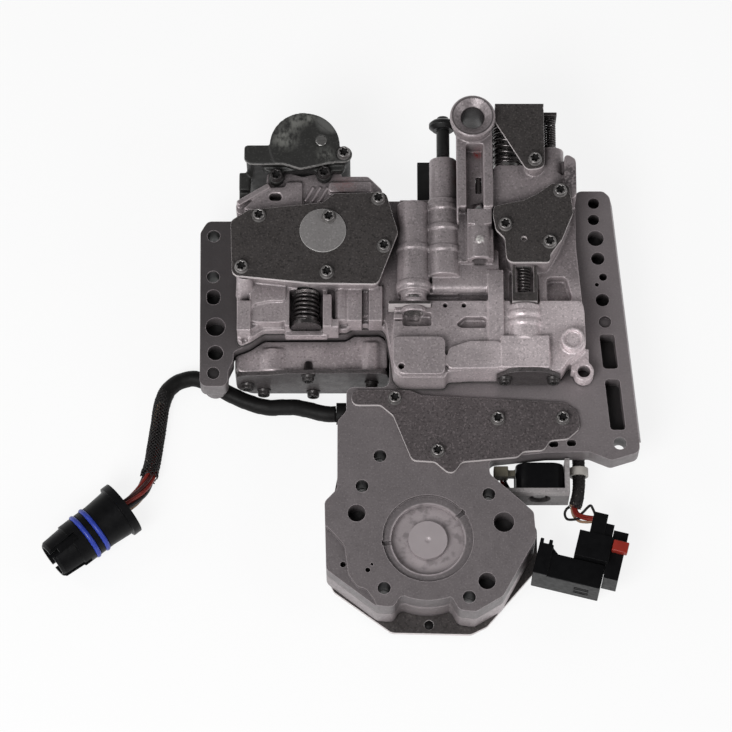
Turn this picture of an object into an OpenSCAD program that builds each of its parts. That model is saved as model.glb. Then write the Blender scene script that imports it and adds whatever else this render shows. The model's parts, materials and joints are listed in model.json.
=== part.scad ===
// Automatic transmission valve body with its castings, valves, covers, solenoid and wiring.
// The machined case face of the transfer plate is z = 0, and the origin is the centre of the
// accumulator seat in that face. +Y runs along the valve bores, away from the lobe.

/* [Reach] */
// Reach of the left strip's outer side from the accumulator seat
strip_reach = 128; // [124:0.5:134]
// Reach of the right ear from the accumulator seat
ear_reach = 118; // [115:0.5:124]
// Reach of the bottom cover in front of the accumulator seat
bottom_reach = 46; // [45:0.5:52]
// Distance of the manual shaft behind the accumulator seat
shaft_y = 235; // [233:0.5:240]

/* [Stack] */
// Thickness of the transfer plate
plate_t = 14; // [13:0.5:16]
// Thickness of each steel separator plate
sep_t = 1; // [0.6:0.1:1.6]
// Depth of the lower housing under the valves
lower_h = 24; // [23:0.5:28]
// Depth of the lower housing under the lobe
lobe_h = 17; // [15:0.5:18]
// Thickness of the bottom cover under the lobe
bottom_t = 3; // [2:0.5:3.5]
// Height of the upper housing's front rim above the separator
rim_h = 6.5; // [5:0.5:8]
// Height of the upper housing's floor above the separator
floor_h = 12; // [10:0.5:13]
// Height of the front deck above the separator
deck_h = 19; // [18:0.5:21]
// Height of the machined pads at the front of the deck
pad_h = 24; // [23:0.5:26]
// Height of the left valve block under its cover
left_h = 27; // [26:0.5:30]
// Height of the right valve block under its cover
right_h = 29; // [28:0.5:32]

/* [Plates] */
// Corner radius of the castings
cast_r = 4; // [2:0.5:5]
// Corner radius of the sheet steel covers
sheet_r = 4; // [2:0.5:5]
// Thickness of the sheet steel covers
cover_t = 2.4; // [1.6:0.2:3]
// Thickness of the stiffener plate
stiffener_t = 2.6; // [1.6:0.2:3.2]
// Draft of the slanted right side of the transfer plate
side_draft = 2.2; // [1:0.2:3]
// Diameter of the round tag on the left cover
tag_d = 26; // [22:1:28]
// Thickness of the round tag
tag_t = 0.8; // [0.5:0.1:1.2]

/* [Case face] */
// Diameter of the case bolt holes
bolt_d = 7.2; // [6.6:0.2:8]
// Spacing of the two case bolts in the left strip
strip_pitch = 24.8; // [20:0.2:26]
// Diameter of the accumulator seat in the case face
seat_d = 50; // [46:0.5:54]
// Depth of the accumulator seat
seat_h = 2.4; // [1.6:0.2:3]
// Outer diameter of the spring groove in the seat
groove_d = 40.6; // [36:0.2:44]
// Depth of the spring groove below the case face
groove_h = 8; // [6:0.5:10]
// Diameter of the boss in the middle of the seat
hub_d = 21.6; // [18:0.2:24]

/* [Valves] */
// Radial clearance of each valve in its bore
valve_gap = 0.1; // [0.06:0.02:0.2]
// Diameter of the manual valve bore
manual_bore = 11; // [9:0.5:12]
// Diameter of the manual valve's head
manual_head_d = 15.8; // [13:0.2:16.4]
// Outer diameter of the two valve tubes
tube_d = 18.4; // [17:0.2:19]
// Diameter of the boost valve bore
boost_bore = 11; // [9:0.5:12]
// Diameter of the regulator valve bore
regulator_bore = 12; // [10:0.5:13]
// Diameter of the switch valve bore
switch_bore = 7; // [6:0.2:7.6]
// Diameter of the throttle valve bore
throttle_bore = 10; // [8:0.5:11]
// Diameter of the kickdown plunger bore
kickdown_bore = 9; // [8:0.5:9.5]
// Diameter of the shuttle valve bore
shuttle_bore = 12; // [10:0.5:13]
// Diameter of the shift valve bores in the lower housing
shift_bore = 12; // [10:0.5:13]
// Diameter of the detent bore
detent_bore = 8.8; // [8:0.2:9.4]
// Diameter of the check balls
check_ball_d = 6; // [5:0.5:6.5]

/* [Manual shaft arm] */
// Diameter of the manual shaft bore
shaft_bore = 12.6; // [10:0.2:14]
// Outer diameter of the arm's ring
ring_d = 25.6; // [23:0.2:27]
// Height of the ring's top face above the case face
ring_top = 42; // [40:0.5:45]
// Height of the ring's lower face above the case face
ring_base = 27; // [26.8:0.2:30]
// Diameter of the sleeve below the ring
sleeve_d = 16; // [15:0.1:16.4]
// Length of the sleeve below the ring
sleeve_l = 21; // [16:0.5:24]
// Width of each rail of the arm
rail_w = 5.4; // [4.5:0.1:6]
// Thickness of the arm's web between the rails
web_t = 3.5; // [2.5:0.1:4]

/* [Accumulator] */
// Outer diameter of the accumulator housing
acc_d = 36.6; // [34:0.2:37.6]
// Diameter of the accumulator's round cap
acc_cap_d = 39.4; // [38:0.2:41]
// Diameter of the accumulator bore
acc_bore = 23; // [20:0.5:23.5]
// Height of the accumulator cap's top face
acc_top = 32; // [31.5:0.5:34]
// Thickness of the accumulator cap
acc_cap_t = 3; // [2:0.2:4]

/* [Solenoid and sensor] */
// Wall thickness of the solenoid bracket
bracket_t = 2.7; // [2:0.1:3.2]
// Diameter of the core hole in the solenoid bracket
core_d = 12.6; // [10:0.2:14]
// Diameter of the solenoid plunger
plunger_d = 8; // [6:0.2:9]
// Length of the pressure sensor block
sensor_l = 38; // [34:0.5:42]
// Width of the pressure sensor block
sensor_w = 14; // [12:0.5:15]
// Turn of the pressure sensor about the upright axis, degrees
sensor_turn = -14; // [-18:1:-10]

/* [Screws] */
// Diameter of the screw heads
head_d = 8; // [6.6:0.2:8.4]
// Height of the screw heads
head_h = 3.6; // [2.8:0.2:3.8]
// Diameter of the screw shanks
shank_d = 4; // [3.4:0.2:4.4]
// Length of the screw shanks
shank_l = 8; // [7:0.5:8.5]
// Radial clearance round the screw shanks
screw_gap = 0.1; // [0.05:0.05:0.2]

/* [Wiring] */
// Diameter of the main wiring harness
harness_d = 9.4; // [8:0.2:10]
// Diameter of the solenoid's branch of the harness
branch_d = 7.2; // [6:0.2:8]
// Length of the case connector
connector_l = 50; // [48:0.5:54]
// Diameter of the case connector's barrel at the seals
connector_d = 26.4; // [25:0.2:27]
// Diameter of the case connector's rear flange
flange_d = 32; // [30:0.5:34]
// Outer diameter of the case connector's seals
seal_d = 28; // [27.6:0.2:29]
// Cross-section diameter of the case connector's seals
seal_w = 3; // [2.6:0.2:3.6]

/* [Hidden] */
$fn = 48;

// Levels of the stack
lower_top = -plate_t - sep_t;
rest_z = lower_top - lower_h;
lobe_z = lower_top - lobe_h;
rim_z = sep_t + rim_h;
floor_z = sep_t + floor_h;
deck_z = sep_t + deck_h;
pad_z = sep_t + pad_h;
left_z = sep_t + left_h;
right_z = sep_t + right_h;

// Outer side of the left strip and its inner side
strip_x = -strip_reach;
strip_inner_x = -108.4;
// Front edge that the transfer plate, both separators and the upper housing share at the left
front_edge = [[-106, 110.4], [-99, 113.4], [-91.5, 118.6], [-45, 119], [-41, 122], [-26, 122]];
// Ends of the slanted outer side of the right strip
side_front = [ear_reach - 0.5, 60];
side_rear = [104.5, 203];
// Outline of the transfer plate, from the left strip round by the lobe and the right ear
plate_points = concat(
    [[strip_x + 1, 88.6], [strip_x + 16.4, 88.6], [strip_x + 16.8, 98], [strip_inner_x, 104],
     [strip_inner_x, 109]],
    front_edge,
    [
        [-21, 118], [-21, 88], [-45, 88], [-45, 74], [-50, 68], [-50, 28.5], [-57, 21],
        [-56, -17], [-28, -38.5], [-19, -39.5], [-15.5, -33], [12.5, -33], [17, -41], [26, -42],
        [41, -33], [59.5, 0], [58.5, 15], [50, 23], [34.5, 37], [34, 46], [66, 49.6], [90, 50],
        [ear_reach - 16, 45], [ear_reach, 50], side_front, side_rear, [101, 206.5], [85, 206.5],
        [84, 196], [-30, 196], [-32, 188], [strip_x + 4, 188], [strip_x, 181]
    ]
);
// Outline of the lobe below the transfer plate
lobe_points = [
    [-45, 88], [-45, 74], [-50, 68], [-50, 28.5], [-57, 21], [-56, -17], [-28, -38.5],
    [-19, -39.5], [-15.5, -33], [12.5, -33], [17, -41], [26, -42], [41, -33], [59.5, 0],
    [58.5, 15], [50, 23], [34.5, 37], [34, 88]
];
// Radius of the rim round the accumulator seat, seen in the notch of the lobe
rim_r = 35.6;
// Outline of the bottom cover, wider than the lobe at the front and the right
bottom_points = [
    [-49, 52], [-55, 20], [-55, -15], [-52, -21.5], [-20, 1 - bottom_reach],
    [24, -bottom_reach], [33, -41.5], [61.5, -8], [61.5, 16], [40, 36], [34, 52]
];
// Front face of the lower housing and of the left end cover
lower_front = 99.5;
lower_x = [-108, 62];
lower_step_x = -17;
lower_lobe_y = 80;
lower_back = 186;
// Front shelf of the lower housing, a little before the plate's front edge
shelf_x = [-107.2, -22];
shelf_gap = 0.8;
shelf_z = -7;
// Valve ridges along the shelf: x, axis height, diameter and rear end
shelf_ridges = [[-86.5, -15, 21, 113.4], [-73.6, -11.5, 7, 117], [-31, -12.5, 15, 117]];

// The upper housing's outline behind its front edge, and the whole outline with that edge set back
upper_side = [
    [-20.5, 104], [-19, 91], [-15, 86.5], [10, 86.5], [11, 90], [27, 91], [74, 91], [78, 97],
    [88, 105], [87.5, 126], [84, 168], [84, 195], [-30.6, 195], [-32.6, 187], [-107.4, 187]
];
function upper_outline(back) =
    concat([for (p = front_edge) p + [0, back]], [[-23, 118 + back]], upper_side);
rim_back = 0.6;
floor_back = 3.4;
sep_lip = 0.6;
left_block = [
    [-107, 145.5], [-107, 175], [-99, 180.5], [-58, 185], [-52, 191], [-24.5, 191.5],
    [-18, 169], [-28, 140.5], [-64, 140.5]
];
right_block = [
    [38.5, 176], [45, 165], [45.5, 152], [67.5, 152], [74, 164], [80.5, 180], [79.5, 193.5],
    [74, 196], [66, 192], [54, 186.5], [38.5, 183]
];
left_cover_points = [
    [-109.8, 176], [-99.6, 182.6], [-58.2, 187], [-52.3, 192.5], [-23, 193.3], [-16.2, 169],
    [-27.5, 138.2], [-65, 138.8], [-108.6, 143.4]
];
right_cover_points = [
    [37, 178], [37.1, 184], [54.6, 187.7], [62, 191.6], [70.5, 198], [79.5, 197.5],
    [81.7, 180], [75.1, 164], [68.5, 155], [68.5, 150.4], [44.2, 150.4], [43.3, 165], [38.4, 170]
];
stiffener_points = [
    [-42.2, 85.5], [-42.2, 76.7], [-26, 76.7], [-19, 70.6], [-8.5, 44.2], [4, 43.4],
    [13.4, 35.2], [19, 43.4], [50, 46.2], [53, 49.4], [64.5, 50.2], [68, 55.8], [78, 56.8],
    [84.8, 63], [83.4, 73], [76, 78.2], [-3, 82.4], [-10, 85.5]
];

// Screws: left cover, right cover, then bracket and accumulator
left_screws = [
    [-94, 178.8], [-27.2, 189], [-24.2, 160.5], [-56, 144.8], [-103.4, 148]
];
tag_screw = [-55, 177.6];
tag_at = [-58.2, 170];
right_screws = [[74.6, 193], [43.6, 172.6], [68.2, 162.2]];
stiffener_screw_at = [[-18, 80.4], [39.2, 68.4], [5.6, 49.4], [75.2, 68.6]];
left_end_screw_at = [[-101, -20], [-66.5, -6.5], [-31, -17.6], [-92, -30], [-64, -32.6]];
right_end_screw_at = [[43, 14], [69.8, 14]];
housing_screw_at = [[-96, 122], [-96, 176], [-12, 122], [-12, 176], [50, 122], [50, 176]];
bottom_screw_at = [[-44, 40], [-48, -10], [52, -2], [26, 36]];
bottom_hole_at = [0.8, -40.5];
bottom_hole_d = 5.4;
bracket_screw_at = [60.6, 210.6];
acc_flange_screws = [[-84.6, 205.2], [-57.8, 207]];
acc_ear = [-46.6, 216.2];

// Valve axes as x and height
manual_axis = [9.5, 18];
boost_axis = [-7.5, 18];
regulator_axis = [46, 16];
switch_axis = [70.2, 18];
throttle_axis = [54.2, 17];
shuttle_axis = [-67.5, 11.6];
shift_axis_12 = [-66, -24];
shift_axis_23 = [-38, -24];
detent_axis = [29.4, 24];
acc_at = [-68.6, 221.6];
shaft_at = [25.8, shaft_y];
solenoid_axis = [62.6, -20];

// Places along the valve bores
manual_tube_y = [146, 217];
manual_spool_y = [167, 221];
manual_head_y = [236, 242];
boost_tube_y = [137, 190];
boost_mouth_y = 124.4;
// Collars of the manual and boost tubes
manual_collars = [160.6, 173.4, 185.4];
boost_collars = [139.6, 161.4];
collar_w = 3;
// Plate that holds the boost plug, across its neck
retainer_x = [-21.6, 2];
retainer_y = [128.2, 130];
retainer_z = [10.2, 25.4];
regulator_face_y = 212;
regulator_wall_y = [243, 245];
switch_face_y = 223;
throttle_tube_y = [109, 129.5];
throttle_gap_y = [129.5, 152];
shuttle_pocket_y = [116, 140.5];
right_end_y = 91;
shift_end_y = 166;
detent_block_y = [154, 183];
bracket_z = 34;
bracket_plate_t = 2;

// Width of the free way left round a check ball
ball_room = 2;
// Screw holes a little larger than the shanks
hole_d = shank_d + 2 * screw_gap;

// A direction of length one
function unit(v) = v / norm(v);

// Points that round the corner b between a and c with n steps
function corner(a, b, c, r, n) =
    let (
        u = unit(a - b),
        w = unit(c - b),
        half = acos(u * w) / 2,
        reach = min(r / tan(half), norm(a - b) * 0.45, norm(c - b) * 0.45),
        bend = reach * tan(half),
        centre = b + unit(u + w) * bend / sin(half),
        from = b + u * reach - centre,
        to = b + w * reach - centre,
        start = atan2(from.y, from.x),
        turn = atan2(from.x * to.y - from.y * to.x, from * to)
    )
    [for (i = [0:n]) centre + bend * [cos(start + turn * i / n), sin(start + turn * i / n)]];

// An outline with every corner rounded
function rounded(points, r, n = 4) =
    let (k = len(points))
    [for (i = [0:k - 1]) each corner(points[(i + k - 1) % k], points[i], points[(i + 1) % k], r, n)];

// A flat piece with a rounded outline between two heights
module slab(points, r, z) {
    translate([0, 0, z[0]])
        linear_extrude(z[1] - z[0])
            polygon(rounded(points, r));
}

// An upright piece with a rounded outline in X and Z between two places along Y
module upright(points, r, y) {
    translate([0, y[1], 0])
        rotate([90, 0, 0])
            linear_extrude(y[1] - y[0])
                polygon(rounded(points, r));
}

// A box from low and high values along each axis
module block(x, y, z) {
    translate([x[0], y[0], z[0]])
        cube([x[1] - x[0], y[1] - y[0], z[1] - z[0]]);
}

// A round bar along Y about an axis given by x and height
module rod(axis, d, y) {
    translate([axis[0], y[0], axis[1]])
        rotate([-90, 0, 0])
            cylinder(d = d, h = y[1] - y[0]);
}

// A round upright between two heights
module post(at, d, z) {
    translate([at[0], at[1], z[0]])
        cylinder(d = d, h = z[1] - z[0]);
}

// A turned valve along Y: lands as [y from, y to, diameter] rows about one axis
module spool(axis, lands) {
    for (land = lands)
        rod(axis, land[2], [land[0], land[1]]);
}

// A tube swept along a path; the reference direction is never along the path
module sweep(path, r, sides, ref) {
    count = len(path);
    rings = [
        for (i = [0:count - 1])
            let (
                along = unit(path[min(i + 1, count - 1)] - path[max(i - 1, 0)]),
                side = unit(cross(along, ref)),
                up = cross(side, along)
            )
            for (k = [0:sides - 1])
                path[i] + r * (cos(360 * k / sides) * side + sin(360 * k / sides) * up)
    ];
    walls = [
        for (i = [0:count - 2], k = [0:sides - 1])
            let (
                a = i * sides + k,
                b = i * sides + (k + 1) % sides
            )
            each [[a, b, b + sides], [a, b + sides, a + sides]]
    ];
    last = (count - 1) * sides;
    caps = [
        for (k = [1:sides - 2])
            each [[0, k + 1, k], [last, last + k, last + k + 1]]
    ];
    polyhedron(points = rings, faces = concat(walls, caps), convexity = 8);
}

// A round wire spring along Y with closed ends, between two seats
module coil(axis, d, wire, turns, y) {
    steps = 10;
    pitch = (y[1] - y[0] - wire) / turns;
    path = [
        for (i = [0:turns * steps])
            let (a = 360 * i / steps)
            [
                axis[0] + (d - wire) / 2 * cos(a),
                y[0] + wire / 2 + pitch * i / steps,
                axis[1] + (d - wire) / 2 * sin(a)
            ]
    ];
    sweep(path, wire / 2, 6, [0, 1, 0]);
}

// A cylinder head screw with a six-sided socket, seated at the origin and pointing up
module screw() {
    difference() {
        union() {
            rotate_extrude()
                polygon([
                    [0, 0], [head_d / 2, 0], [head_d / 2, head_h * 0.24], [head_d * 0.43, head_h * 0.32],
                    [head_d * 0.42, head_h * 0.88], [head_d * 0.37, head_h], [0, head_h]
                ]);
            translate([0, 0, -shank_l])
                cylinder(d = shank_d, h = shank_l + 0.5);
        }
        translate([0, 0, head_h * 0.35])
            cylinder(d = head_d * 0.52, h = head_h, $fn = 6);
    }
}

// Screws standing on the top face at height z
module screws_up(places, z) {
    for (p = places)
        translate([p[0], p[1], z]) screw();
}

// Screws whose heads stand on a face that looks towards -Y
module screws_front(places, y) {
    for (p = places)
        translate([p[0], y, p[1]]) rotate([90, 0, 0]) screw();
}

// Screws whose heads stand on a face that looks down
module screws_down(places, z) {
    for (p = places)
        translate([p[0], p[1], z]) rotate([180, 0, 0]) screw();
}

// Holes for upright screws, between two heights
module holes_up(places, z) {
    for (p = places)
        post(p, hole_d, z);
}

// Holes for screws along Y
module holes_front(places, y) {
    for (p = places)
        rod(p, hole_d, y);
}

// Bolts of the case face: two in the left strip, five in the lobe and one in the right ear
strip_bolts = [[strip_x + 7.6, 179], [strip_x + 7.6, 179 - strip_pitch]];
lobe_bolts = [[-26.3, 47.6], [-36.3, 30.1], [33.8, 25.4], [22.4, -33.7], [-24.2, -28.6]];
ear_bolt = [ear_reach - 11.1, 55];
// Bosses under the left strip: diameter and depth below the plate
strip_boss_d = 13;
strip_boss_h = 10;
// Fluid passages of the left strip: inset from its outer side, y, diameter and depth
left_passages = [[9.3, 124, 11, 11], [9.5, 108.4, 8.8, 9], [8.5, 96.4, 7, 2.5]];
// Oval passage of the left strip
oval_points = [
    [strip_x + 4.1, 137.4], [strip_x + 11.7, 137.4], [strip_x + 11.7, 146.4], [strip_x + 4.1, 146.4]
];
// The slanted outer side of the right strip, and the passages behind it by their inset
function side_x(y) =
    side_front.x + (side_rear.x - side_front.x) * (y - side_front.y) / (side_rear.y - side_front.y);
right_passages = [
    [9.5, 199, 6.6, 10], [10.7, 189, 6.6, 10], [10.8, 177.6, 9.4, 10], [10.9, 165.3, 7.6, 10],
    [9.2, 154.1, 4.6, 8], [13.2, 149.5, 2.4, 6], [11.1, 140.2, 7.7, 10], [11.2, 127, 7, 3]
];
lobe_passages = [
    [-39.3, 14.4, 9.9, 12], [41.9, 9.2, 11.5, 12], [32.2, -24.6, 9.6, 11],
    [-33.1, -18.3, 2.8, 8], [-30.8, -15, 1.6, 6], [-46.7, -14.3, 3.3, 9]
];
// Long pockets of the right strip: wall to the slanted side, width, ends and depth
slot_wall = 6.8;
slot_w = 8.6;
slot_ends = [[99, 119.6], [62.8, 92.8]];
slot_depth = 11;
// Two small pockets at the front edge beside the stiffener
edge_pockets = [[67.4, 52.6, 72.8, 56.4], [77.4, 53.2, 82.6, 57]];
edge_pocket_h = 8;
// As-cast step at the lower left of the lobe
step_points = [
    [-66, 8], [-55.6, 7], [-46, -4], [-43.6, -21], [-39, -27.6], [-34, -29], [-29, -36], [-27, -46],
    [-66, -46]
];
step_h = 3;
check_ball_at = [[-92, 150], [-44, 170], [-44, 130], [28, 120], [70, 140]];
check_pocket_h = check_ball_d + 1;

// The groove, hub and centre mark of the accumulator seat as one turned cut
module seat_cut() {
    over = 1;
    hub_z = -seat_h - 1;
    rotate_extrude()
        polygon([
            [0, over], [seat_d / 2, over], [seat_d / 2, -seat_h], [groove_d / 2, -seat_h],
            [groove_d / 2, -groove_h], [hub_d / 2, -groove_h], [hub_d / 2, hub_z],
            [2.1, hub_z], [0, hub_z - 1.4]
        ]);
}

module transfer_plate() {
    slant = side_rear - side_front;
    boss_z = -plate_t - strip_boss_h;
    color("darkgray")
    difference() {
        union() {
            slab(plate_points, cast_r, [-plate_t, 0]);
            post([0, 0], 2 * rim_r, [-plate_t, 0]);
            // Bosses under the left strip, the last one blind
            for (p = concat(strip_bolts, [[strip_x + 9, 96.2]]))
                post(p, strip_boss_d, [boss_z, -1]);
            // Drafted outer side of the right strip
            translate([side_front.x, side_front.y, 0])
                rotate([0, 0, atan2(slant.y, slant.x)])
                    rotate([90, 0, 90])
                        linear_extrude(norm(slant))
                            polygon([[1, -1], [0, -1], [-side_draft, -plate_t], [1, -plate_t]]);
        }
        seat_cut();
        // Small oil notches across the seat's land
        for (a = [38, 186])
            rotate([0, 0, a])
                block([groove_d / 2 - 1, seat_d / 2 + 0.6], [-1.3, 1.3], [-seat_h - 1.6, 1]);
        for (p = concat(strip_bolts, lobe_bolts, [ear_bolt]))
            post(p, bolt_d, [boss_z - 1, 1]);
        for (h = left_passages)
            post([strip_x + h[0], h[1]], h[2], [-h[3], 1]);
        for (h = right_passages)
            post([side_x(h[1]) - h[0], h[1]], h[2], [-h[3], 1]);
        for (h = lobe_passages)
            post(h, h[2], [-h[3], 1]);
        slab(oval_points, 3.7, [-10, 1]);
        for (y = slot_ends)
            slab([
                [side_x(y[1]) - slot_wall - slot_w, y[1]], [side_x(y[0]) - slot_wall - slot_w, y[0]],
                [side_x(y[0]) - slot_wall, y[0]], [side_x(y[1]) - slot_wall, y[1]]
            ], 2, [-slot_depth, 1]);
        for (e = edge_pockets)
            slab([[e[0], e[1]], [e[2], e[1]], [e[2], e[3]], [e[0], e[3]]], 1.8, [-edge_pocket_h, 1]);
        slab(step_points, 5, [-step_h, 1]);
        for (p = check_ball_at)
            post(p, check_ball_d + ball_room, [-check_pocket_h, 1]);
        holes_up(stiffener_screw_at, [stiffener_t - shank_l - 0.5, 1]);
        holes_up(housing_screw_at, [-plate_t - 1, -plate_t + 6]);
    }
}

module upper_separator() {
    color("dimgray")
    linear_extrude(sep_t)
        offset(delta = sep_lip) polygon(rounded(upper_outline(rim_back), cast_r));
}

module lower_separator() {
    color("dimgray")
    difference() {
        union() {
            slab(lobe_points, cast_r, [lower_top, -plate_t]);
            slab(concat(
                [for (p = front_edge) p + [0, 0.4]],
                [
                    [-21, 118.4], [-21, lower_lobe_y], [lower_x[1], lower_lobe_y],
                    [lower_x[1], lower_back], [lower_x[0], lower_back]
                ]
            ), cast_r, [lower_top, -plate_t]);
        }
        for (p = lobe_bolts)
            post(p, bolt_d, [lower_top - 1, 1]);
        holes_up(housing_screw_at, [lower_top - 1, 0]);
    }
}

// Cored pockets of the pan side: x and depth, with one length and width
pan_pockets = [[-84, 7], [-12, 7]];
pan_pocket = [18, 36];
inlet_at = [20, 150];
inlet_d = 26;
inlet_h = 9;

module lower_housing() {
    color("silver")
    difference() {
        union() {
            slab([
                [lower_x[0], lower_front], [lower_step_x, lower_front], [lower_step_x, lower_lobe_y],
                [lower_x[1], lower_lobe_y], [lower_x[1], lower_back], [lower_x[0], lower_back]
            ], cast_r, [rest_z, lower_top]);
            slab(lobe_points, cast_r, [lobe_z, lower_top]);
            post([0, 0], 2 * rim_r, [lobe_z, lower_top]);
            // Front shelf that stands up before the transfer plate
            slab(concat(
                [[shelf_x[0], lower_front], [shelf_x[0], front_edge[0].y - shelf_gap]],
                [for (p = front_edge) p - [0, shelf_gap]],
                [[shelf_x[1], 117.4], [shelf_x[1], lower_front]]
            ), cast_r, [lower_top - 6, shelf_z]);
            for (r = shelf_ridges)
                rod([r[0], r[1]], r[2], [lower_front, r[3]]);
        }
        for (p = lobe_bolts)
            post(p, bolt_d, [lobe_z - 1, 0]);
        for (axis = [shift_axis_12, shift_axis_23])
            rod(axis, shift_bore, [lower_front - 1, shift_end_y]);
        holes_front(left_end_screw_at, [lower_front - 1, lower_front + shank_l - cover_t + 0.5]);
        // Pan side: oil inlet, cored pockets and sunk screws
        post(inlet_at, inlet_d, [rest_z - 1, rest_z + inlet_h]);
        for (p = pan_pockets)
            slab([
                [p[0] - pan_pocket[0] / 2, inlet_at.y - pan_pocket[1] / 2],
                [p[0] + pan_pocket[0] / 2, inlet_at.y - pan_pocket[1] / 2],
                [p[0] + pan_pocket[0] / 2, inlet_at.y + pan_pocket[1] / 2],
                [p[0] - pan_pocket[0] / 2, inlet_at.y + pan_pocket[1] / 2]
            ], cast_r, [rest_z - 1, rest_z + p[1]]);
        holes_up(housing_screw_at, [rest_z - 1, lower_top + 1]);
        for (p = housing_screw_at)
            post(p, head_d + 1, [rest_z - 1, -plate_t + 5.5 - shank_l]);
        holes_up(bottom_screw_at, [lobe_z - 1, lobe_z + shank_l]);
    }
}

module bottom_cover() {
    color("darkslategray")
    difference() {
        slab(bottom_points, 6, [lobe_z - bottom_t, lobe_z]);
        for (p = lobe_bolts)
            post(p, bolt_d, [lobe_z - bottom_t - 1, 0]);
        holes_up(bottom_screw_at, [lobe_z - bottom_t - 1, 0]);
        post(bottom_hole_at, bottom_hole_d, [lobe_z - bottom_t - 1, 0]);
    }
}

module left_end_cover() {
    color("gray")
    difference() {
        upright([
            [-107, -27], [-107, -7], [-88, -5.5], [-78, -3], [-54, -3], [-46, -2], [-22, -2.5],
            [-22, -27], [-32, -36], [-99, -36]
        ], 5, [lower_front - cover_t, lower_front]);
        holes_front(left_end_screw_at, [lower_front - cover_t - 1, lower_front + 1]);
    }
}

// Raised floor before the left cover: lower and upper level
left_floor_low = [[-98.6, 121], [-79, 121], [-79, 134], [-88, 134], [-96, 132], [-98.6, 129]];
left_floor_high = [[-99, 128], [-96, 131.4], [-88, 133.2], [-79, 133.2], [-79, 146], [-99, 146]];
// Step and leaning cone under the cover's outer corner
corner_step = [[-106, -98.4], [115.4, 133]];
corner_cone = [-101.7, 139, 10];
corner_tilt = -28;
// Open pocket of the shuttle spring: width and wall
shuttle_pocket_w = 18.6;
pocket_wall = 2.6;
pocket_wall_z = 15.5;
// Round rib right of the pocket, then two flat ones by their sides, with one front end and top
round_rib = [-48, 14];
flat_ribs = [[-44.2, -36.4], [-32.6, -25]];
rib_front = 121.4;
rib_top = 17;

// Raised forms along the front of the left valve block
module left_front_forms() {
    half = shuttle_pocket_w / 2 + pocket_wall;
    block(corner_step[0], corner_step[1], [sep_t, 18]);
    translate(corner_cone)
        rotate([corner_tilt, 0, 0]) cylinder(d1 = 11, d2 = 9, h = 16);
    slab(left_floor_low, 3, [sep_t, 15.5]);
    slab(left_floor_high, 2, [sep_t, 17]);
    // Walls of the open spring pocket, and the stepped block beside it
    block([shuttle_axis[0] - half, shuttle_axis[0] + half],
          [shuttle_pocket_y[0] + 3, shuttle_pocket_y[1] + 2], [sep_t, pocket_wall_z]);
    block([shuttle_axis[0] - half, shuttle_axis[0] + half],
          [shuttle_pocket_y[0], shuttle_pocket_y[0] + 4], [sep_t, rim_z]);
    block([-58, -53.2], [117, 136], [sep_t, 20]);
    block([-58, -49.4], [117, 122], [sep_t, 18.4]);
    rod(round_rib, 7.6, [rib_front, 140]);
    for (x = flat_ribs)
        block(x, [rib_front, 142], [sep_t, rib_top]);
}

// Outline of the ledge behind the left block and of the seat under the accumulator flange
ledge_points = [
    [-107, 184], [-24, 184], [-25, 199], [-30, 204.5], [-33, 207.4], [-78, 207.4], [-87, 203.4],
    [-107.4, 190.6]
];
ledge_seat = [
    [-90, 199], [-48, 199], [-48, 211.8], [-56.5, 210.6], [-70, 207], [-79.4, 210.2], [-90, 210.2]
];
// Pads on the ledge, and the raised rim along its slanted edge
ledge_pad_left = [[-104, 186], [-70, 184], [-70, 203], [-78.6, 203], [-80, 200], [-90, 199.6]];
ledge_pad_right = [[-55, 196.8], [-31, 196.8], [-31, 203], [-55, 203]];
ledge_rim = [[-107.4, 190.6], [-89.4, 201.8], [-87.6, 199.2], [-105.6, 188]];
ledge_z = [5, 20];
pad_rise = 2.4;
// Slanted ribs between the pads
rib_x = [-66, -62, -58];

// Ledge behind the left block, which carries the accumulator
module accumulator_ledge() {
    slab(ledge_points, 3, ledge_z);
    slab(ledge_seat, 3, ledge_z);
    for (points = [ledge_pad_left, ledge_pad_right])
        slab(points, 1.2, [ledge_z[0], ledge_z[1] + pad_rise]);
    slab(ledge_rim, 1.2, [ledge_z[0], ledge_z[1] + 1.5 * pad_rise]);
    for (x = rib_x)
        translate([x, 196, 0])
            rotate([0, 0, -28])
                block([-0.7, 0.7], [-5, 5], [ledge_z[0], ledge_z[1] + 1.2]);
}

// Deck, its two machined pads, and the rounded nose between the deck and the tubes
deck_points = [
    [-20, 104], [-19, 91], [-15, 86.5], [10, 86.5], [11, 90], [27, 91], [74, 91], [78, 97],
    [88, 105], [87.5, 126], [86.5, 132.4], [-18, 132.4]
];
pad_left = [[-19, 93], [-15, 87], [9.6, 87], [9.6, 109], [-19.5, 109]];
pad_right = [[10.6, 90.5], [34, 91], [41.4, 91], [41.4, 107], [23, 107], [12, 103], [10.6, 98]];
nose_x = [3, 40];
nose_y = [137.6, 162];
nose_d = 8;
nose_z = deck_z + 1;
throttle_boss_d = 19.6;
throttle_collars = [[122.6, 125.4], [117.4, 120]];
recess_boss = [80.4, 107.2];
lug_at = [87.2, 94];

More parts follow.
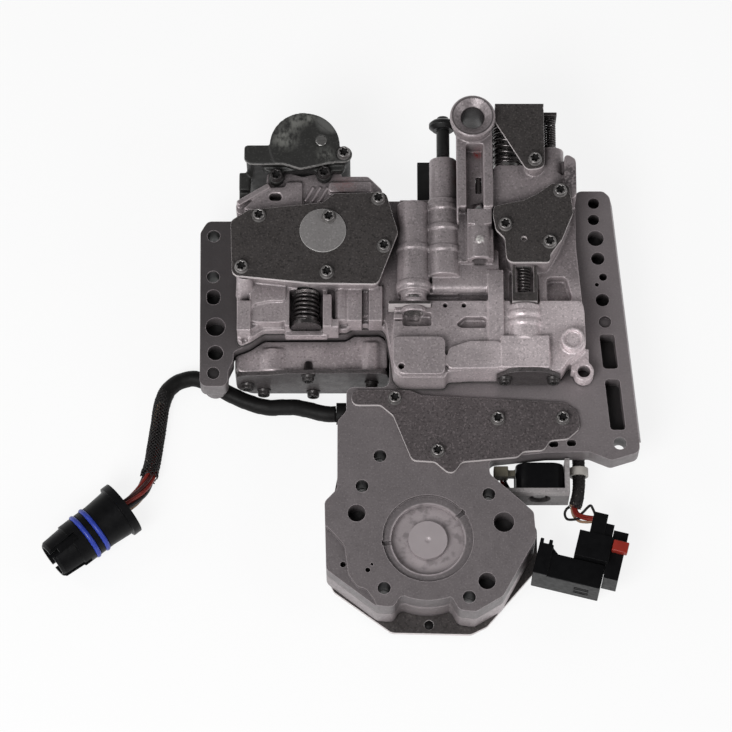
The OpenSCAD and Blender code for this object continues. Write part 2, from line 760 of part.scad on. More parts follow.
// Front deck with its pads, the nose, the throttle tube, the recessed boss and the bolt lug
module front_deck() {
    throttle_boss = [throttle_axis[0], throttle_axis[1] - 2];
    slab(deck_points, cast_r, [sep_t, deck_z]);
    slab(pad_left, 3, [sep_t, pad_z]);
    slab(pad_right, 3, [sep_t, pad_z - 1.4]);
    slab([
        [nose_x[0], nose_y[0] + nose_d / 2], [nose_x[1], nose_y[0] + nose_d / 2],
        [nose_x[1], nose_y[1]], [nose_x[0], nose_y[1]]
    ], 1, [sep_t, nose_z]);
    translate([nose_x[0], nose_y[0] + nose_d / 2, nose_z - nose_d / 2])
        rotate([0, 90, 0]) cylinder(d = nose_d, h = nose_x[1] - nose_x[0]);
    // Rib between the pads and the throttle tube
    block([34, 42.6], [106, 150], [sep_t, deck_z + 1.6]);
    rod(throttle_boss, throttle_boss_d, throttle_tube_y);
    for (y = throttle_collars)
        rod(throttle_boss, throttle_boss_d + 1.6, y);
    block([41, 67.5], [91.2, 110], [sep_t, pad_z - 1]);
    post(recess_boss, 12.8, [sep_t, pad_z + 2]);
    post(lug_at, 11.2, [sep_t, 10]);
    block([80, 90], [lug_at.y, 107], [sep_t, 10]);
}

// The two long valve tubes with their collars
module valve_tubes() {
    rod(boost_axis, tube_d, boost_tube_y);
    rod(boost_axis, tube_d - 4, [boost_mouth_y, boost_tube_y[1]]);
    rod(manual_axis, tube_d, [manual_tube_y[0], manual_tube_y[1] - 25]);
    rod(manual_axis, tube_d - 2.6, manual_tube_y);
    for (y = manual_collars)
        rod(manual_axis, tube_d + 1.6, [y, y + collar_w]);
    for (y = boost_collars)
        rod(boost_axis, tube_d + 1.4, [y, y + collar_w]);
    block([-15, 17], [boost_tube_y[0], 194], [sep_t, 17]);
}

// Rails of the shaft arm, its web and the block with the detent bore
arm_x = [16.6, 37];
arm_rail_h = 5.4;
arm_under_x = [18.2, 36];
arm_base_y = [154, 204];
arm_step_y = 148;
arm_step_z = 19;
channel_y = 186;
channel_z = 21.5;
detent_tube_d = 14.4;
detent_pin_y = 164.5;
detent_pin_d = 4;

// The arm that carries the manual shaft, with the detent block below it
module shaft_arm() {
    cone_h = 3.4;
    // Ring with a wide countersink and a tapered wall
    translate([shaft_at.x, shaft_at.y, 0])
        rotate_extrude()
            polygon([
                [shaft_bore / 2 - 1, ring_base], [ring_d / 2 - 1.8, ring_base],
                [ring_d / 2, ring_top - 4], [ring_d / 2, ring_top - 0.8],
                [ring_d / 2 - 0.8, ring_top], [ring_d / 2 - 1.5, ring_top],
                [shaft_bore / 2, ring_top - cone_h], [shaft_bore / 2 - 1, ring_top - cone_h]
            ]);
    post(shaft_at, sleeve_d, [ring_base - sleeve_l, ring_base + 1]);
    slab([
        [arm_x[0], 174], [arm_x[1], 174], [arm_x[1], shaft_at.y - 2], [arm_x[0], shaft_at.y - 2]
    ], 2, [ring_base, ring_base + arm_rail_h]);
    block(arm_under_x, [arm_base_y[1] - 4, shaft_at.y - 6], [channel_z - web_t, ring_base + 1]);
    block([arm_under_x[0], arm_x[1]], arm_base_y, [sep_t, ring_base + 0.6]);
    block([arm_under_x[0], arm_x[1]], [arm_step_y, arm_base_y[0]], [sep_t, arm_step_z]);
    rod(detent_axis, detent_tube_d, detent_block_y);
}

// Bosses and walls at the rear right that carry the regulator and switch valves
regulator_wall = [
    [37.5, 184], [77, 184], [77, regulator_face_y - 6], [66, regulator_face_y],
    [37.5, regulator_face_y]
];
rear_lug = [[77.4, 190], [84, 190], [84, 214], [77.4, 218]];

module regulator_forms() {
    slab(regulator_wall, 3, [sep_t + 2, 25]);
    rod(switch_axis, switch_bore + 8, [switch_face_y - 23, switch_face_y]);
    post(bracket_screw_at, 10.6, [8, bracket_z]);
    slab(rear_lug, 3, [sep_t + 2, right_z - 0.4]);
}

// Pocket of the throttle spring and of the right deck, and the pockets of the front deck
spring_pocket = [[46.4, 129.8], [62.6, 129.8], [62.6, 151.8], [46.4, 151.8]];
right_pocket = [[67, 134], [82, 134], [78, 149], [67, 149]];
deck_pocket = [[15.6, 118], [21, 122.4], [33, 122.4], [33, 116], [19, 116]];
mouth_pocket = [[-13.6, 117.2], [2.2, 117.2], [2.2, 125], [-13.6, 125]];
mouth_grooves = [[120, 121.2], [124.4, 125.6]];
deck_holes = [[10, 129.4], [20.4, 129.4]];

// Valve bores of the upper housing
module upper_bores() {
    rod(manual_axis, manual_bore, [manual_tube_y[0] + 2, manual_tube_y[1] + 1]);
    rod(boost_axis, boost_bore, [boost_mouth_y - 2, boost_tube_y[1] - 4]);
    rod(regulator_axis, regulator_bore, [regulator_face_y - 38, regulator_face_y + 1]);
    rod(switch_axis, switch_bore, [switch_face_y - 27, switch_face_y + 1]);
    rod(throttle_axis, throttle_bore, [90, throttle_gap_y[0] + 3]);
    rod(throttle_axis, kickdown_bore, [throttle_gap_y[1] - 4, 171]);
    rod(shuttle_axis, shuttle_bore, [shuttle_pocket_y[1] - 1, 182]);
    rod(detent_axis, detent_bore, [detent_block_y[0] - 1, 190]);
    post(shaft_at, shaft_bore, [ring_base - sleeve_l - 1, ring_top + 1]);
}

// Open pockets, slots and plain holes of the upper housing
module upper_pockets() {
    half = shuttle_pocket_w / 2;
    spring_y = [shuttle_pocket_y[0] + 3, shuttle_pocket_y[1]];
    rod(shuttle_axis, shuttle_pocket_w, spring_y);
    block([shuttle_axis[0] - half, shuttle_axis[0] + half], spring_y, [shuttle_axis[1], 40]);
    slab(spring_pocket, 2, [8, 40]);
    // Channel of the arm with a slot in its floor
    block([arm_x[0] + rail_w, arm_x[1] - rail_w], [channel_y, shaft_at.y - ring_d / 2 - 0.2],
          [channel_z, 40]);
    block([27.6, 31], [196, 206], [channel_z - 4, channel_z + 1]);
    // Slot of the boost plug's retainer, and the pocket before the plug
    block([retainer_x[0] - 0.2, retainer_x[1] + 0.2], [retainer_y[0] - 0.2, retainer_y[1] + 0.2],
          [retainer_z[0] - 0.2, 40]);
    slab(mouth_pocket, 1, [14, 40]);
    for (y = mouth_grooves)
        block([-21, -13], y, [deck_z - 2, 40]);
    block([boost_axis[0] - 5, boost_axis[0] + 5], [132.8, 134.4], [boost_axis[1] + 5, 40]);
    slab(deck_pocket, 2, [deck_z - 5, 40]);
    slab(right_pocket, 3, [6, 40]);
    post(recess_boss, 9.6, [pad_z + 0.4, pad_z + 3]);
    post(lug_at, 7, [0, 11]);
    post([-14.6, 91.6], 3.4, [10, 40]);
    post([-102, 113.6], 3.6, [3, 40]);
    for (p = deck_holes)
        post(p, 2.6, [12, 40]);
    slab([[-88.6, 191.6], [-81.6, 191.6], [-81.6, 196], [-88.6, 196]], 2, [ledge_z[1] - 6, 40]);
}

module upper_housing() {
    color("silver")
    union() {
        difference() {
            union() {
                slab(upper_outline(rim_back), cast_r, [sep_t, rim_z]);
                slab(upper_outline(floor_back), cast_r, [sep_t, floor_z]);
                slab(left_block, cast_r, [sep_t, left_z]);
                slab(right_block, cast_r, [sep_t, right_z]);
                accumulator_ledge();
                left_front_forms();
                front_deck();
                valve_tubes();
                shaft_arm();
                regulator_forms();
            }
            upper_bores();
            upper_pockets();
            holes_up(left_screws, [left_z - shank_l, left_z + 1]);
            holes_up([tag_screw], [left_z - shank_l, left_z + 1]);
            holes_up(right_screws, [right_z - shank_l + 1.5, right_z + 1]);
            holes_up([bracket_screw_at], [bracket_z - shank_l, bracket_z + 1]);
            holes_up(acc_flange_screws, [ledge_z[1] - shank_l, ledge_z[1] + 1]);
            holes_front(right_end_screw_at, [right_end_y - 1, right_end_y + shank_l]);
        }
        // Pin across the detent bore that the detent spring rests on
        post([detent_axis[0], detent_pin_y], detent_pin_d,
             [detent_axis[1] - detent_bore / 2 - 1, detent_axis[1] + detent_tube_d / 2 + 0.6]);
    }
}

// Front wall of the accumulator: straight by the arm, bowed in the middle, and up to the ear
acc_front = [[-102, 210.9], [-79.4, 210.9], [-70, 207.9], [-56.5, 211.4], [-50, 212.2], [-41.6, 212.4]];
// Left arm of the accumulator, its lugs and the flange on the ledge
acc_arm = [[-101.6, 209], [-80, 209], [-80, 220.6], [-101.6, 220.6]];
acc_lug_x = [-106, -99.6];
acc_lug_y = [197.4, 208.2, 214];
acc_flange = [[-92, 208.4], [-46, 208.4], [-46, 214], [-92, 214]];
acc_flange_t = 5;
acc_foot_z = -16;
cover_lip = 0.8;
// Plug in the accumulator's cover
acc_plug_at = [-59.4, 224];
acc_plug_d = 6.4;
acc_plug_h = 2;

module accumulator_housing() {
    body_top = acc_top - acc_cap_t;
    flange_z = ledge_z[1] + acc_flange_t;
    color("dimgray")
    difference() {
        union() {
            intersection() {
                union() {
                    post(acc_at, acc_d, [acc_foot_z, body_top]);
                    slab(acc_arm, 2, [acc_foot_z, body_top]);
                    post(acc_ear, 7.4, [acc_foot_z, body_top]);
                    block([acc_ear.x - 10, acc_ear.x], [acc_ear.y - 4, acc_ear.y + 3],
                          [acc_foot_z, body_top]);
                }
                slab(concat(acc_front, [[-41.6, 250], [-102, 250]]), 5, [acc_foot_z - 1, body_top + 1]);
            }
            slab(acc_flange, 3, [ledge_z[1], flange_z]);
            for (p = acc_flange_screws)
                post(p, head_d + 0.6, [ledge_z[1], flange_z]);
            block(acc_lug_x, [acc_lug_y[0], acc_lug_y[2]], [2, 6]);
            block(acc_lug_x, [acc_lug_y[1] - 5, acc_lug_y[2]], [2, 10]);
        }
        post(acc_at, acc_bore, [-1, body_top + 1]);
        holes_up(acc_flange_screws, [ledge_z[1] - 1, flange_z + 1]);
        for (p = acc_flange_screws)
            post(p, head_d + 1, [flange_z, body_top + 1]);
        holes_up([acc_ear], [body_top - shank_l, body_top + 1]);
    }
}

module accumulator_cover() {
    z = [acc_top - acc_cap_t, acc_top];
    ear_z = acc_top - 0.6;
    color("darkslategray")
    difference() {
        intersection() {
            union() {
                post(acc_at, acc_cap_d, z);
                slab([
                    acc_arm[0] - [1, 1], acc_arm[1] + [2, -1], acc_arm[2] + [2, 1], acc_arm[3] + [-1, 1]
                ], 2, [z[0], ear_z]);
                post(acc_ear, 9.4, [z[0], ear_z]);
                block([acc_ear.x - 10, acc_ear.x], [acc_ear.y - 4.7, acc_ear.y + 4], [z[0], ear_z]);
            }
            slab(concat(
                [for (p = acc_front) p + [p.x < acc_at.x ? -1 : 1, -cover_lip]],
                [[-40.6, 250], [-103, 250]]
            ), 5, [z[0] - 1, z[1] + 1]);
        }
        holes_up([acc_ear], [z[0] - 1, z[1] + 1]);
        post(acc_ear, head_d + 1, [ear_z, z[1] + 1]);
        post(acc_plug_at, acc_plug_d + 0.2, [z[1] - acc_plug_h, z[1] + 1]);
        // Lower flat beyond a chord of the cap
        translate([acc_at.x, acc_at.y, 0])
            rotate([0, 0, 48])
                block([14.6, 30], [-30, 30], [z[1] - 0.6, z[1] + 1]);
    }
}

module accumulator_plug() {
    color("lightgray")
    post(acc_plug_at, acc_plug_d, [acc_top - acc_plug_h, acc_top + 0.3]);
}

// The piston's bottom face, floor and top, and the room round its spring
piston_z = [0.4, 4, 14];
piston_wall = 3;
acc_spring_gap = 0.5;

module accumulator_piston() {
    color("silver")
    difference() {
        post(acc_at, acc_bore - 2 * valve_gap, [piston_z[0], piston_z[2]]);
        post(acc_at, acc_bore - 2 * piston_wall, [piston_z[1], piston_z[2] + 1]);
    }
}

module accumulator_spring() {
    color("dimgray")
    translate([acc_at.x, acc_at.y, 0])
        rotate([90, 0, 0])
            coil([0, 0], acc_bore - 2 * (piston_wall + acc_spring_gap), 2.2, 6,
                 [piston_z[1] + 0.2, acc_top - acc_cap_t - 0.2]);
}

module left_cover_plate() {
    color("dimgray")
    difference() {
        slab(left_cover_points, sheet_r, [left_z, left_z + cover_t]);
        holes_up(left_screws, [left_z - 1, left_z + cover_t + 1]);
        holes_up([tag_screw], [left_z - 1, left_z + cover_t + 1]);
    }
}

module id_tag() {
    color("gray")
    difference() {
        post(tag_at, tag_d, [left_z + cover_t, left_z + cover_t + tag_t]);
        holes_up([tag_screw], [left_z, left_z + cover_t + 2]);
    }
}

module right_cover_plate() {
    color("dimgray")
    difference() {
        slab(right_cover_points, sheet_r, [right_z, right_z + cover_t]);
        holes_up(right_screws, [right_z - 1, right_z + cover_t + 1]);
        post([54, 164.4], 3, [right_z - 1, right_z + cover_t + 1]);
    }
}

module stiffener_plate() {
    color("gray")
    difference() {
        slab(stiffener_points, sheet_r, [0, stiffener_t]);
        holes_up(stiffener_screw_at, [-1, stiffener_t + 1]);
    }
}

// Sides of the regulator bracket, its slanted edge and its ear behind the switch spring
reg_bracket_x = [38.6, 66];
reg_slant = [[66, 206], [56, 204.6], [38.6, 234]];
reg_ear = [[65, 74], [12, 24]];
reg_floor_x = 36.4;
reg_floor_z = 5;

module regulator_bracket() {
    top_z = bracket_z + bracket_plate_t;
    floor_top = reg_floor_z + bracket_plate_t;
    color("dimgray")
    difference() {
        union() {
            slab(concat(
                [[reg_bracket_x[0], regulator_wall_y[1]], [reg_bracket_x[1], regulator_wall_y[1]]],
                reg_slant
            ), sheet_r, [bracket_z, top_z]);
            block(reg_bracket_x, regulator_wall_y, [reg_floor_z, top_z]);
            block(reg_ear[0], regulator_wall_y, reg_ear[1]);
            // Floor under the regulator spring
            block([reg_floor_x, reg_bracket_x[1]], [regulator_face_y + 1, regulator_wall_y[1]],
                  [reg_floor_z, floor_top]);
        }
        holes_up([bracket_screw_at], [bracket_z - 1, top_z + 1]);
    }
}

// The throttle spring's frame: sides, width of its legs, ends, and heights
frame_x = [47.4, 61.4];
frame_leg = 2;
frame_y = [130.6, 151.6];
frame_z = [8, 21.5, 23.5];

module spring_bracket() {
    top = [frame_z[1], frame_z[2]];
    color("dimgray")
    difference() {
        union() {
            block([frame_x[0], frame_x[0] + frame_leg], frame_y, top);
            block([frame_x[1] - frame_leg, frame_x[1]], frame_y, top);
            block(frame_x, [frame_y[0], frame_y[0] + 5.4], top);
            block(frame_x, [frame_y[0], frame_y[0] + 1.8], [frame_z[0], frame_z[2]]);
        }
        rod(throttle_axis, 6.4, [frame_y[0] - 1, frame_y[0] + 3]);
    }
}

right_end_points = [
    [38.5, 2.2], [38.5, 14], [45, 22.5], [50, 24], [62, 24], [67, 22], [74, 14], [74, 2.2]
];

module right_end_cover() {
    color("gray")
    difference() {
        upright(right_end_points, 3, [right_end_y - cover_t, right_end_y]);
        holes_front(right_end_screw_at, [right_end_y - cover_t - 1, right_end_y + 1]);
    }
}

// Black stop behind the valve tubes
stop_x = [-5, 14];
stop_y = [195, 222];

module rear_stop_bracket() {
    color("black")
    union() {
        block(stop_x, stop_y, [3, 6]);
        block(stop_x, [stop_y[0], stop_y[0] + 2.5], [1.6, 8]);
    }
}

module manual_valve() {
    land = manual_bore - 2 * valve_gap;
    neck = land - 4;
    color("black")
    union() {
        spool(manual_axis, [
            [manual_spool_y[0], manual_spool_y[1], neck],
            [manual_spool_y[0], 176, land], [184, 190, land], [200, 214, land],
            [manual_spool_y[1] - 1, manual_head_y[0] + 1, 7.4]
        ]);
        translate([manual_axis[0], manual_head_y[0], manual_axis[1]])
            rotate([-90, 0, 0])
                rotate_extrude()
                    polygon([
                        [0, 0], [manual_head_d * 0.36, 0], [manual_head_d / 2, 2],
                        [manual_head_d / 2, 4], [manual_head_d * 0.4, 5.4],
                        [manual_head_d * 0.24, 6.2], [manual_head_d * 0.2, 8], [0, 8.4]
                    ]);
    }
}

// Rows of a valve's lands are places along Y from its own face, then the diameter
module regulator_valve() {
    land = regulator_bore - 2 * valve_gap;
    f = regulator_face_y;
    color("silver")
    spool(regulator_axis, [
        [f - 36, f - 3, land - 4.4], [f - 36, f - 28, land], [f - 20, f - 14, land],
        [f - 9, f - 1, land], [f + 0.4, f + 2.4, regulator_bore + 4],
        [f - 4, regulator_wall_y[0] - 6, land - 1]
    ]);
}

module regulator_spring() {
    color("dimgray")
    coil(regulator_axis, 16.4, 2.2, 8, [regulator_face_y + 2.6, regulator_wall_y[0] - 0.2]);
}

module switch_valve() {
    land = switch_bore - 2 * valve_gap;
    f = switch_face_y;
    color("silver")
    spool(switch_axis, [
        [f - 25, f - 1, land - 2.4], [f - 25, f - 17, land], [f - 11, f - 1, land],
        [f + 0.4, f + 1.6, switch_bore + 1], [f - 2, regulator_wall_y[0] - 5, land - 3]
    ]);
}

module switch_spring() {
    color("dimgray")
    coil(switch_axis, 6.8, 1.1, 9, [switch_face_y + 1.8, regulator_wall_y[0] - 0.2]);
}

module throttle_valve() {
    land = throttle_bore - 2 * valve_gap;
    color("silver")
    spool(throttle_axis, [
        [92, 125, land - 4], [92, 99, land], [105, 111, land], [118, 125, land],
        [124, 133.6, 5.4], [133, 134.2, 8], [133.6, 139, 4.4]
    ]);
}

module throttle_spring() {
    color("dimgray")
    coil(throttle_axis, 7.6, 1.2, 8, [134.4, 151.6]);
}

module kickdown_plunger() {
    land = kickdown_bore - 2 * valve_gap;
    color("silver")
    spool(throttle_axis, [[151.8, 158, land], [157, 163, land - 3], [162, 168, land]]);
}

module shuttle_valve() {
    land = shuttle_bore - 2 * valve_gap;
    color("silver")
    spool(shuttle_axis, [
        [139, 176, land - 4], [142.6, 150, land], [157, 163, land], [169, 176, land],
        [138, 139.6, 14]
    ]);
}

module shuttle_spring() {
    color("dimgray")
    coil(shuttle_axis, 14.4, 1.7, 6, [121.4, 137.8]);
}

module shuttle_seat() {
    color("dimgray")
    rod(shuttle_axis, 16.4, [119.2, 121.2]);
}

module boost_valve() {
    land = boost_bore - 2 * valve_gap;
    color("silver")
    spool(boost_axis, [[152, 178, land - 4], [152, 158, land], [164, 169, land], [173, 178, land]]);
}

module boost_spring() {
    color("dimgray")
    coil(boost_axis, 9.4, 1.3, 6, [137, 151.8]);
}

module boost_plug() {
    land = boost_bore - 2 * valve_gap;
    color("silver")
    spool(boost_axis, [
        [boost_mouth_y + 1, retainer_y[0] - 0.3, land],
        [retainer_y[0] - 1, retainer_y[1] + 1, boost_bore - 4.2],
        [retainer_y[1] + 0.3, 136.8, land]
    ]);
}

module boost_retainer() {
    fork = boost_bore - 3.6;
    color("dimgray")
    difference() {
        block(retainer_x, retainer_y, retainer_z);
        rod(boost_axis, fork, [retainer_y[0] - 1, retainer_y[1] + 1]);
        block([boost_axis[0] - fork / 2, boost_axis[0] + fork / 2],
              [retainer_y[0] - 1, retainer_y[1] + 1], [retainer_z[0] - 1, boost_axis[1]]);
    }
}

// Lands of the shift valves from the lower housing's front face, and their whole reach
shift_lands = [[3.5, 12.5], [20.5, 27.5], [37.5, 46.5]];
shift_reach = 46.5;

module shift_valve(axis) {
    land = shift_bore - 2 * valve_gap;
    for (y = shift_lands)
        rod(axis, land, [lower_front + y[0], lower_front + y[1]]);
    rod(axis, land - 4, [lower_front + shift_lands[0][0], lower_front + shift_reach]);
    rod(axis, 5, [lower_front + 0.2, lower_front + shift_lands[0][0] + 1]);
}

module shift_valve_12() {
    color("silver") shift_valve(shift_axis_12);
}

module shift_valve_23() {
    color("silver") shift_valve(shift_axis_23);
}

module shift_spring_12() {
    color("dimgray")
    coil(shift_axis_12, 10, 1.3, 6, [lower_front + shift_reach + 0.2, shift_end_y - 0.2]);
}

module shift_spring_23() {
    color("dimgray")
    coil(shift_axis_23, 10, 1.3, 6, [lower_front + shift_reach + 0.2, shift_end_y - 0.2]);
}

detent_ball_y = 184;

module detent_ball() {
    color("silver")
    translate([detent_axis[0], detent_ball_y, detent_axis[1]])
        sphere(d = detent_bore - 2 * valve_gap);
}

module detent_spring() {
    color("dimgray")
    coil(detent_axis, 7.6, 1.1, 4, [detent_pin_y + detent_pin_d / 2 + 0.3, detent_ball_y - 3.4]);
}

module check_balls() {
    color("silver")
    for (p = check_ball_at)
        translate([p[0], p[1], -check_pocket_h + check_ball_d / 2])
            sphere(d = check_ball_d);
}

module cover_screws() {
    color("dimgray")
    union() {
        screws_up(left_screws, left_z + cover_t);
        screws_up([tag_screw], left_z + cover_t + tag_t);
        screws_up(right_screws, right_z + cover_t);
        screws_up([bracket_screw_at], bracket_z + bracket_plate_t);
        screws_up(acc_flange_screws, ledge_z[1] + acc_flange_t);
        screws_up([acc_ear], acc_top - 0.6);
    }
}

module stiffener_screws() {
    color("dimgray")
    screws_up(stiffener_screw_at, stiffener_t);
}

module end_cover_screws() {
    color("dimgray")
    union() {
        screws_front(left_end_screw_at, lower_front - cover_t);
        screws_front(right_end_screw_at, right_end_y - cover_t);
    }
}

module housing_screws() {
    color("dimgray")
    union() {
        screws_down(housing_screw_at, -plate_t + 5.5 - shank_l);
        screws_down(bottom_screw_at, lobe_z - bottom_t);
    }
}

// The solenoid's bracket: its sides, the start of its floor, and its coil inside
sol_x = [44.2, 79.2];
sol_y = [29, 49.2];
sol_z = [lobe_z + 0.4, -8];
sol_floor_x = 49;
coil_gap = 0.3;
coil_back = 47;

module solenoid_bracket() {
    color("silver")
    difference() {
        union() {
            block(sol_x, [sol_y[0], sol_y[0] + bracket_t], sol_z);
            block([sol_x[1] - bracket_t, sol_x[1]], sol_y, sol_z);
            block([sol_floor_x, sol_x[1]], sol_y, [sol_z[0], sol_z[0] + bracket_t]);
        }
        rod(solenoid_axis, core_d, [sol_y[0] - 1, sol_y[0] + bracket_t + 1]);
    }
}

module solenoid_coil() {
    x = [sol_floor_x + coil_gap, sol_x[1] - bracket_t - coil_gap];
    z = [sol_z[0] + bracket_t + 0.05, sol_z[1] - 1];
    front = sol_y[0] + bracket_t + coil_gap;
    color("black")
    difference() {
        upright([[x[0], z[0]], [x[1], z[0]], [x[1], z[1]], [x[0], z[1]]], 7, [front, coil_back]);
        rod(solenoid_axis, plunger_d + 2 * valve_gap, [front - 1, coil_back - 1]);
    }
}

// Nylon terminal block between the lobe and the coil, and its neck
terminal_x = [37, 45, sol_floor_x + coil_gap - 0.2];

module solenoid_terminal() {
    color("white")
    union() {
        block([terminal_x[0], terminal_x[1]], [38.6, 44.6], [-17, -8.6]);
        block([terminal_x[1] - 1, terminal_x[2]], [40, 43.4], [-18, -12]);
    }
}

module solenoid_plunger() {
    color("dimgray")
    rod(solenoid_axis, plunger_d, [sol_y[0] + 1.4, coil_back - 2.6]);
}

// The sensor's corner, its heights, and its end with the two hooks
sensor_at = [60.4, -6];
sensor_z = [-32, -8];
hook_x = [[0, 2], [5, 7]];
hook_y = 8.6;
// The plug: body, cable end, step and latch side, from the sensor's corner
plug_z = [-26, -2];
plug_x = [20, sensor_l + 1];
plug_y = [2.2, 17];
neck_x = [25.4, 33.4];
neck_y = 29.4;
plug_step = [38, 24.6];
latch_x = [sensor_l + 0.3, sensor_l + 8.6];
latch_z = -5;
lock_y = [9, 15.4];

// The sensor stands turned against the right side of the lobe
module on_sensor() {
    translate([sensor_at.x, sensor_at.y, 0])
        rotate([0, 0, sensor_turn])
            children();
}

module sensor_block() {
    y = [2 - sensor_w, 2];
    color("black")
    on_sensor()
    difference() {
        union() {
            block([0, sensor_l], y, sensor_z);
            block([0, 8], [y[0], y[1] + 4], [sensor_z[0], sensor_z[1] + 2]);
            for (x = hook_x)
                block(x, [y[1], hook_y], [sensor_z[1] - 6, sensor_z[1] + 2]);
            translate([8, y[1], sensor_z[0]])
                linear_extrude(sensor_z[1] - sensor_z[0] - 1) polygon([[-1, -1], [5, -1], [-1, 4]]);
        }
        // Four vent slots in the front face
        for (z = [-26, -23.4, -19.6, -17])
            block([sensor_l - 14, sensor_l - 6], [y[0] - 1, y[0] + 1.2], [z, z + 1.2]);
    }
}

// Plug body beside the sensor, with its cable end, a step and its latch side
module sensor_connector() {
    color("black")
    on_sensor()
    union() {
        block(plug_x, plug_y, plug_z);
        block(neck_x, [plug_y[1] - 1, neck_y], [plug_z[0] + 6, plug_z[1] - 1]);
        block([neck_x[1] - 1, plug_step[0]], [plug_y[1] - 1, plug_step[1]], [plug_z[0] + 4, plug_z[1] - 2]);
        block(latch_x, [-6, 22], [plug_z[0], latch_z]);
    }
}

module connector_lock() {
    color("firebrick")
    on_sensor()
    block([latch_x[0] + 1.2, latch_x[1] + 1.6], lock_y, [latch_z + 0.2, latch_z + 5.2]);
}

// Clip that holds the branch beside the solenoid bracket
clip_w = 3.6;
clip_at = [sol_x[1] + 0.2 + (branch_d + clip_w) / 2, -19];
clip_y = [41.6, 46.4];

module loom_clip() {
    color("white")
    difference() {
        union() {
            rod(clip_at, branch_d + clip_w, clip_y);
            block([sol_x[1] + 0.2, clip_at[0]], clip_y, [clip_at[1] - 2.4, clip_at[1] + 2.4]);
        }
        rod(clip_at, branch_d + 0.4, [clip_y[0] - 1, clip_y[1] + 1]);
    }
}

// The case connector lies on its rear flange at the end of the harness
connector_rear = [-169.1, 25];
connector_turn = 218.75;
connector_z = rest_z + flange_d / 2 + 0.1;
// Along the connector from its rear: flange, seals, shoulder and hollow ends
flange_l = 4.5;
seal_places = [21, 27.4];
shoulder_at = 36.4;
rear_hollow = [24, 10];
mating_hollow = [17.6, 10];
key_w = 5;

module on_connector() {
    translate([connector_rear.x, connector_rear.y, connector_z])
        rotate([0, 0, connector_turn])
            rotate([0, 90, 0])
                children();
}

module case_connector() {
    r = connector_d / 2;
    groove = seal_d / 2 - seal_w;
    side = seal_w / 2 + 0.2;
    nose = r - 0.9;
    color("black")
    on_connector()
    difference() {
        rotate_extrude()
            polygon([
                [0, 0], [flange_d / 2, 0], [flange_d / 2, flange_l], [r + 1, flange_l + 0.6],
                [r, seal_places[0] - 4], [r, seal_places[0] - side],
                [groove, seal_places[0] - side], [groove, seal_places[0] + side],
                [r, seal_places[0] + side], [r, seal_places[1] - side],
                [groove, seal_places[1] - side], [groove, seal_places[1] + side],
                [r, seal_places[1] + side], [r, shoulder_at], [nose, shoulder_at + 0.4],
                [nose - 0.8, connector_l - 1.6], [nose - 2.2, connector_l], [0, connector_l]
            ]);
        // Hollow rear for the wires, and hollow mating end
        translate([0, 0, -1]) cylinder(d = rear_hollow[0], h = rear_hollow[1] + 1);
        translate([0, 0, connector_l - mating_hollow[1]])
            cylinder(d = mating_hollow[0], h = mating_hollow[1] + 1);
        // Channels along the mating end, open through its wall near the rim
        for (a = [0, 90, 180, 270])
            rotate([0, 0, a]) {
                block([nose - 1.8, nose + 2], [-key_w / 2, key_w / 2], [shoulder_at - 4, connector_l + 1]);
                block([mating_hollow[0] / 2 - 1, nose + 2], [-key_w / 4, key_w / 4],
                      [connector_l - 5, connector_l + 1]);
            }
    }
}

module connector_seals() {
    color("cornflowerblue")
    on_connector()
    for (place = seal_places)
        translate([0, 0, place])
            rotate_extrude()
                translate([seal_d / 2 - seal_w / 2, 0]) circle(d = seal_w, $fn = 16);
}

// Route of the main harness from the grommet in the lower housing into the case connector
harness_route = [
    [-51, 81, -25], [-57, 81, -25], [-66, 83.6, -26.4], [-74, 86, -28.6], [-82, 87, -31.2],
    [-90, 87.8, -33.4], [-100, 90.8, -34.2], [-110, 95.2, -34.2], [-121, 101.4, -34.2],
    [-131, 105.4, -34.2],
    [-140, 103.6, -34.2], [-146.6, 98, -34.2], [-150, 89, -34.2], [-151.4, 78, -34.2],
    [-153, 66, -34.2], [-154.6, 54, -33.4], [-156.6, 44, -30.6], [-159.8, 35.6, -26.8],
    [-164.6, 29, -23.6], [-170, 24.3, -22.9], [-176.7, 18.9, -22.9]
];
// Route of the braided branch from the lower housing past the clip towards the sensor
branch_route = [
    [66, 104, -26], [73, 104, -26], [79, 99, -25.4], [82.8, 90, -23.8], [84.4, 79, -21.6],
    [84.8, 67, -19.8], [84.8, 56, -19], [84.8, 45, -19], [84.8, 37, -19.2], [84, 30, -20],
    [82.4, 24, -21.4]
];
// Loose wires from the end of the braid to the plug: start, sag and end on the plug's face
wire_d = 1.9;
wire_starts = [[80.9, 23.8, -19.6], [82.2, 23.4, -22.6], [83.8, 23.2, -20.4]];
wire_sag = [[-1.9, -7, -1.6], [-1.3, -8.5, -2], [-0.8, -5.5, -1.3]];
wire_ends = [[22.4, -8], [24, -12], [25.6, -8.4]];

module harness_main() {
    color("black")
    sweep(harness_route, harness_d / 2, 10, [0, 0, 1]);
}

module harness_branch() {
    color("black")
    sweep(branch_route, branch_d / 2, 10, [0, 0, 1]);
}

// A place given from the sensor's corner
function sensor_point(p) = [
    sensor_at.x + p.x * cos(sensor_turn) - p.y * sin(sensor_turn),
    sensor_at.y + p.x * sin(sensor_turn) + p.y * cos(sensor_turn), p.z
];
// A wire as a smooth curve from the braid's end to the plug's face
function wire_path(k) =
    let (
        a = wire_starts[k],
        b = a + wire_sag[k],
        d = sensor_point([neck_x[0] - 0.25, wire_ends[k][0], wire_ends[k][1]]),
        c = sensor_point([neck_x[0] - 6, wire_ends[k][0], wire_ends[k][1]])
    )
    [
        for (i = [0:9])
            let (t = i / 9)
            pow(1 - t, 3) * a + 3 * t * pow(1 - t, 2) * b + 3 * t * t * (1 - t) * c + t * t * t * d
    ];

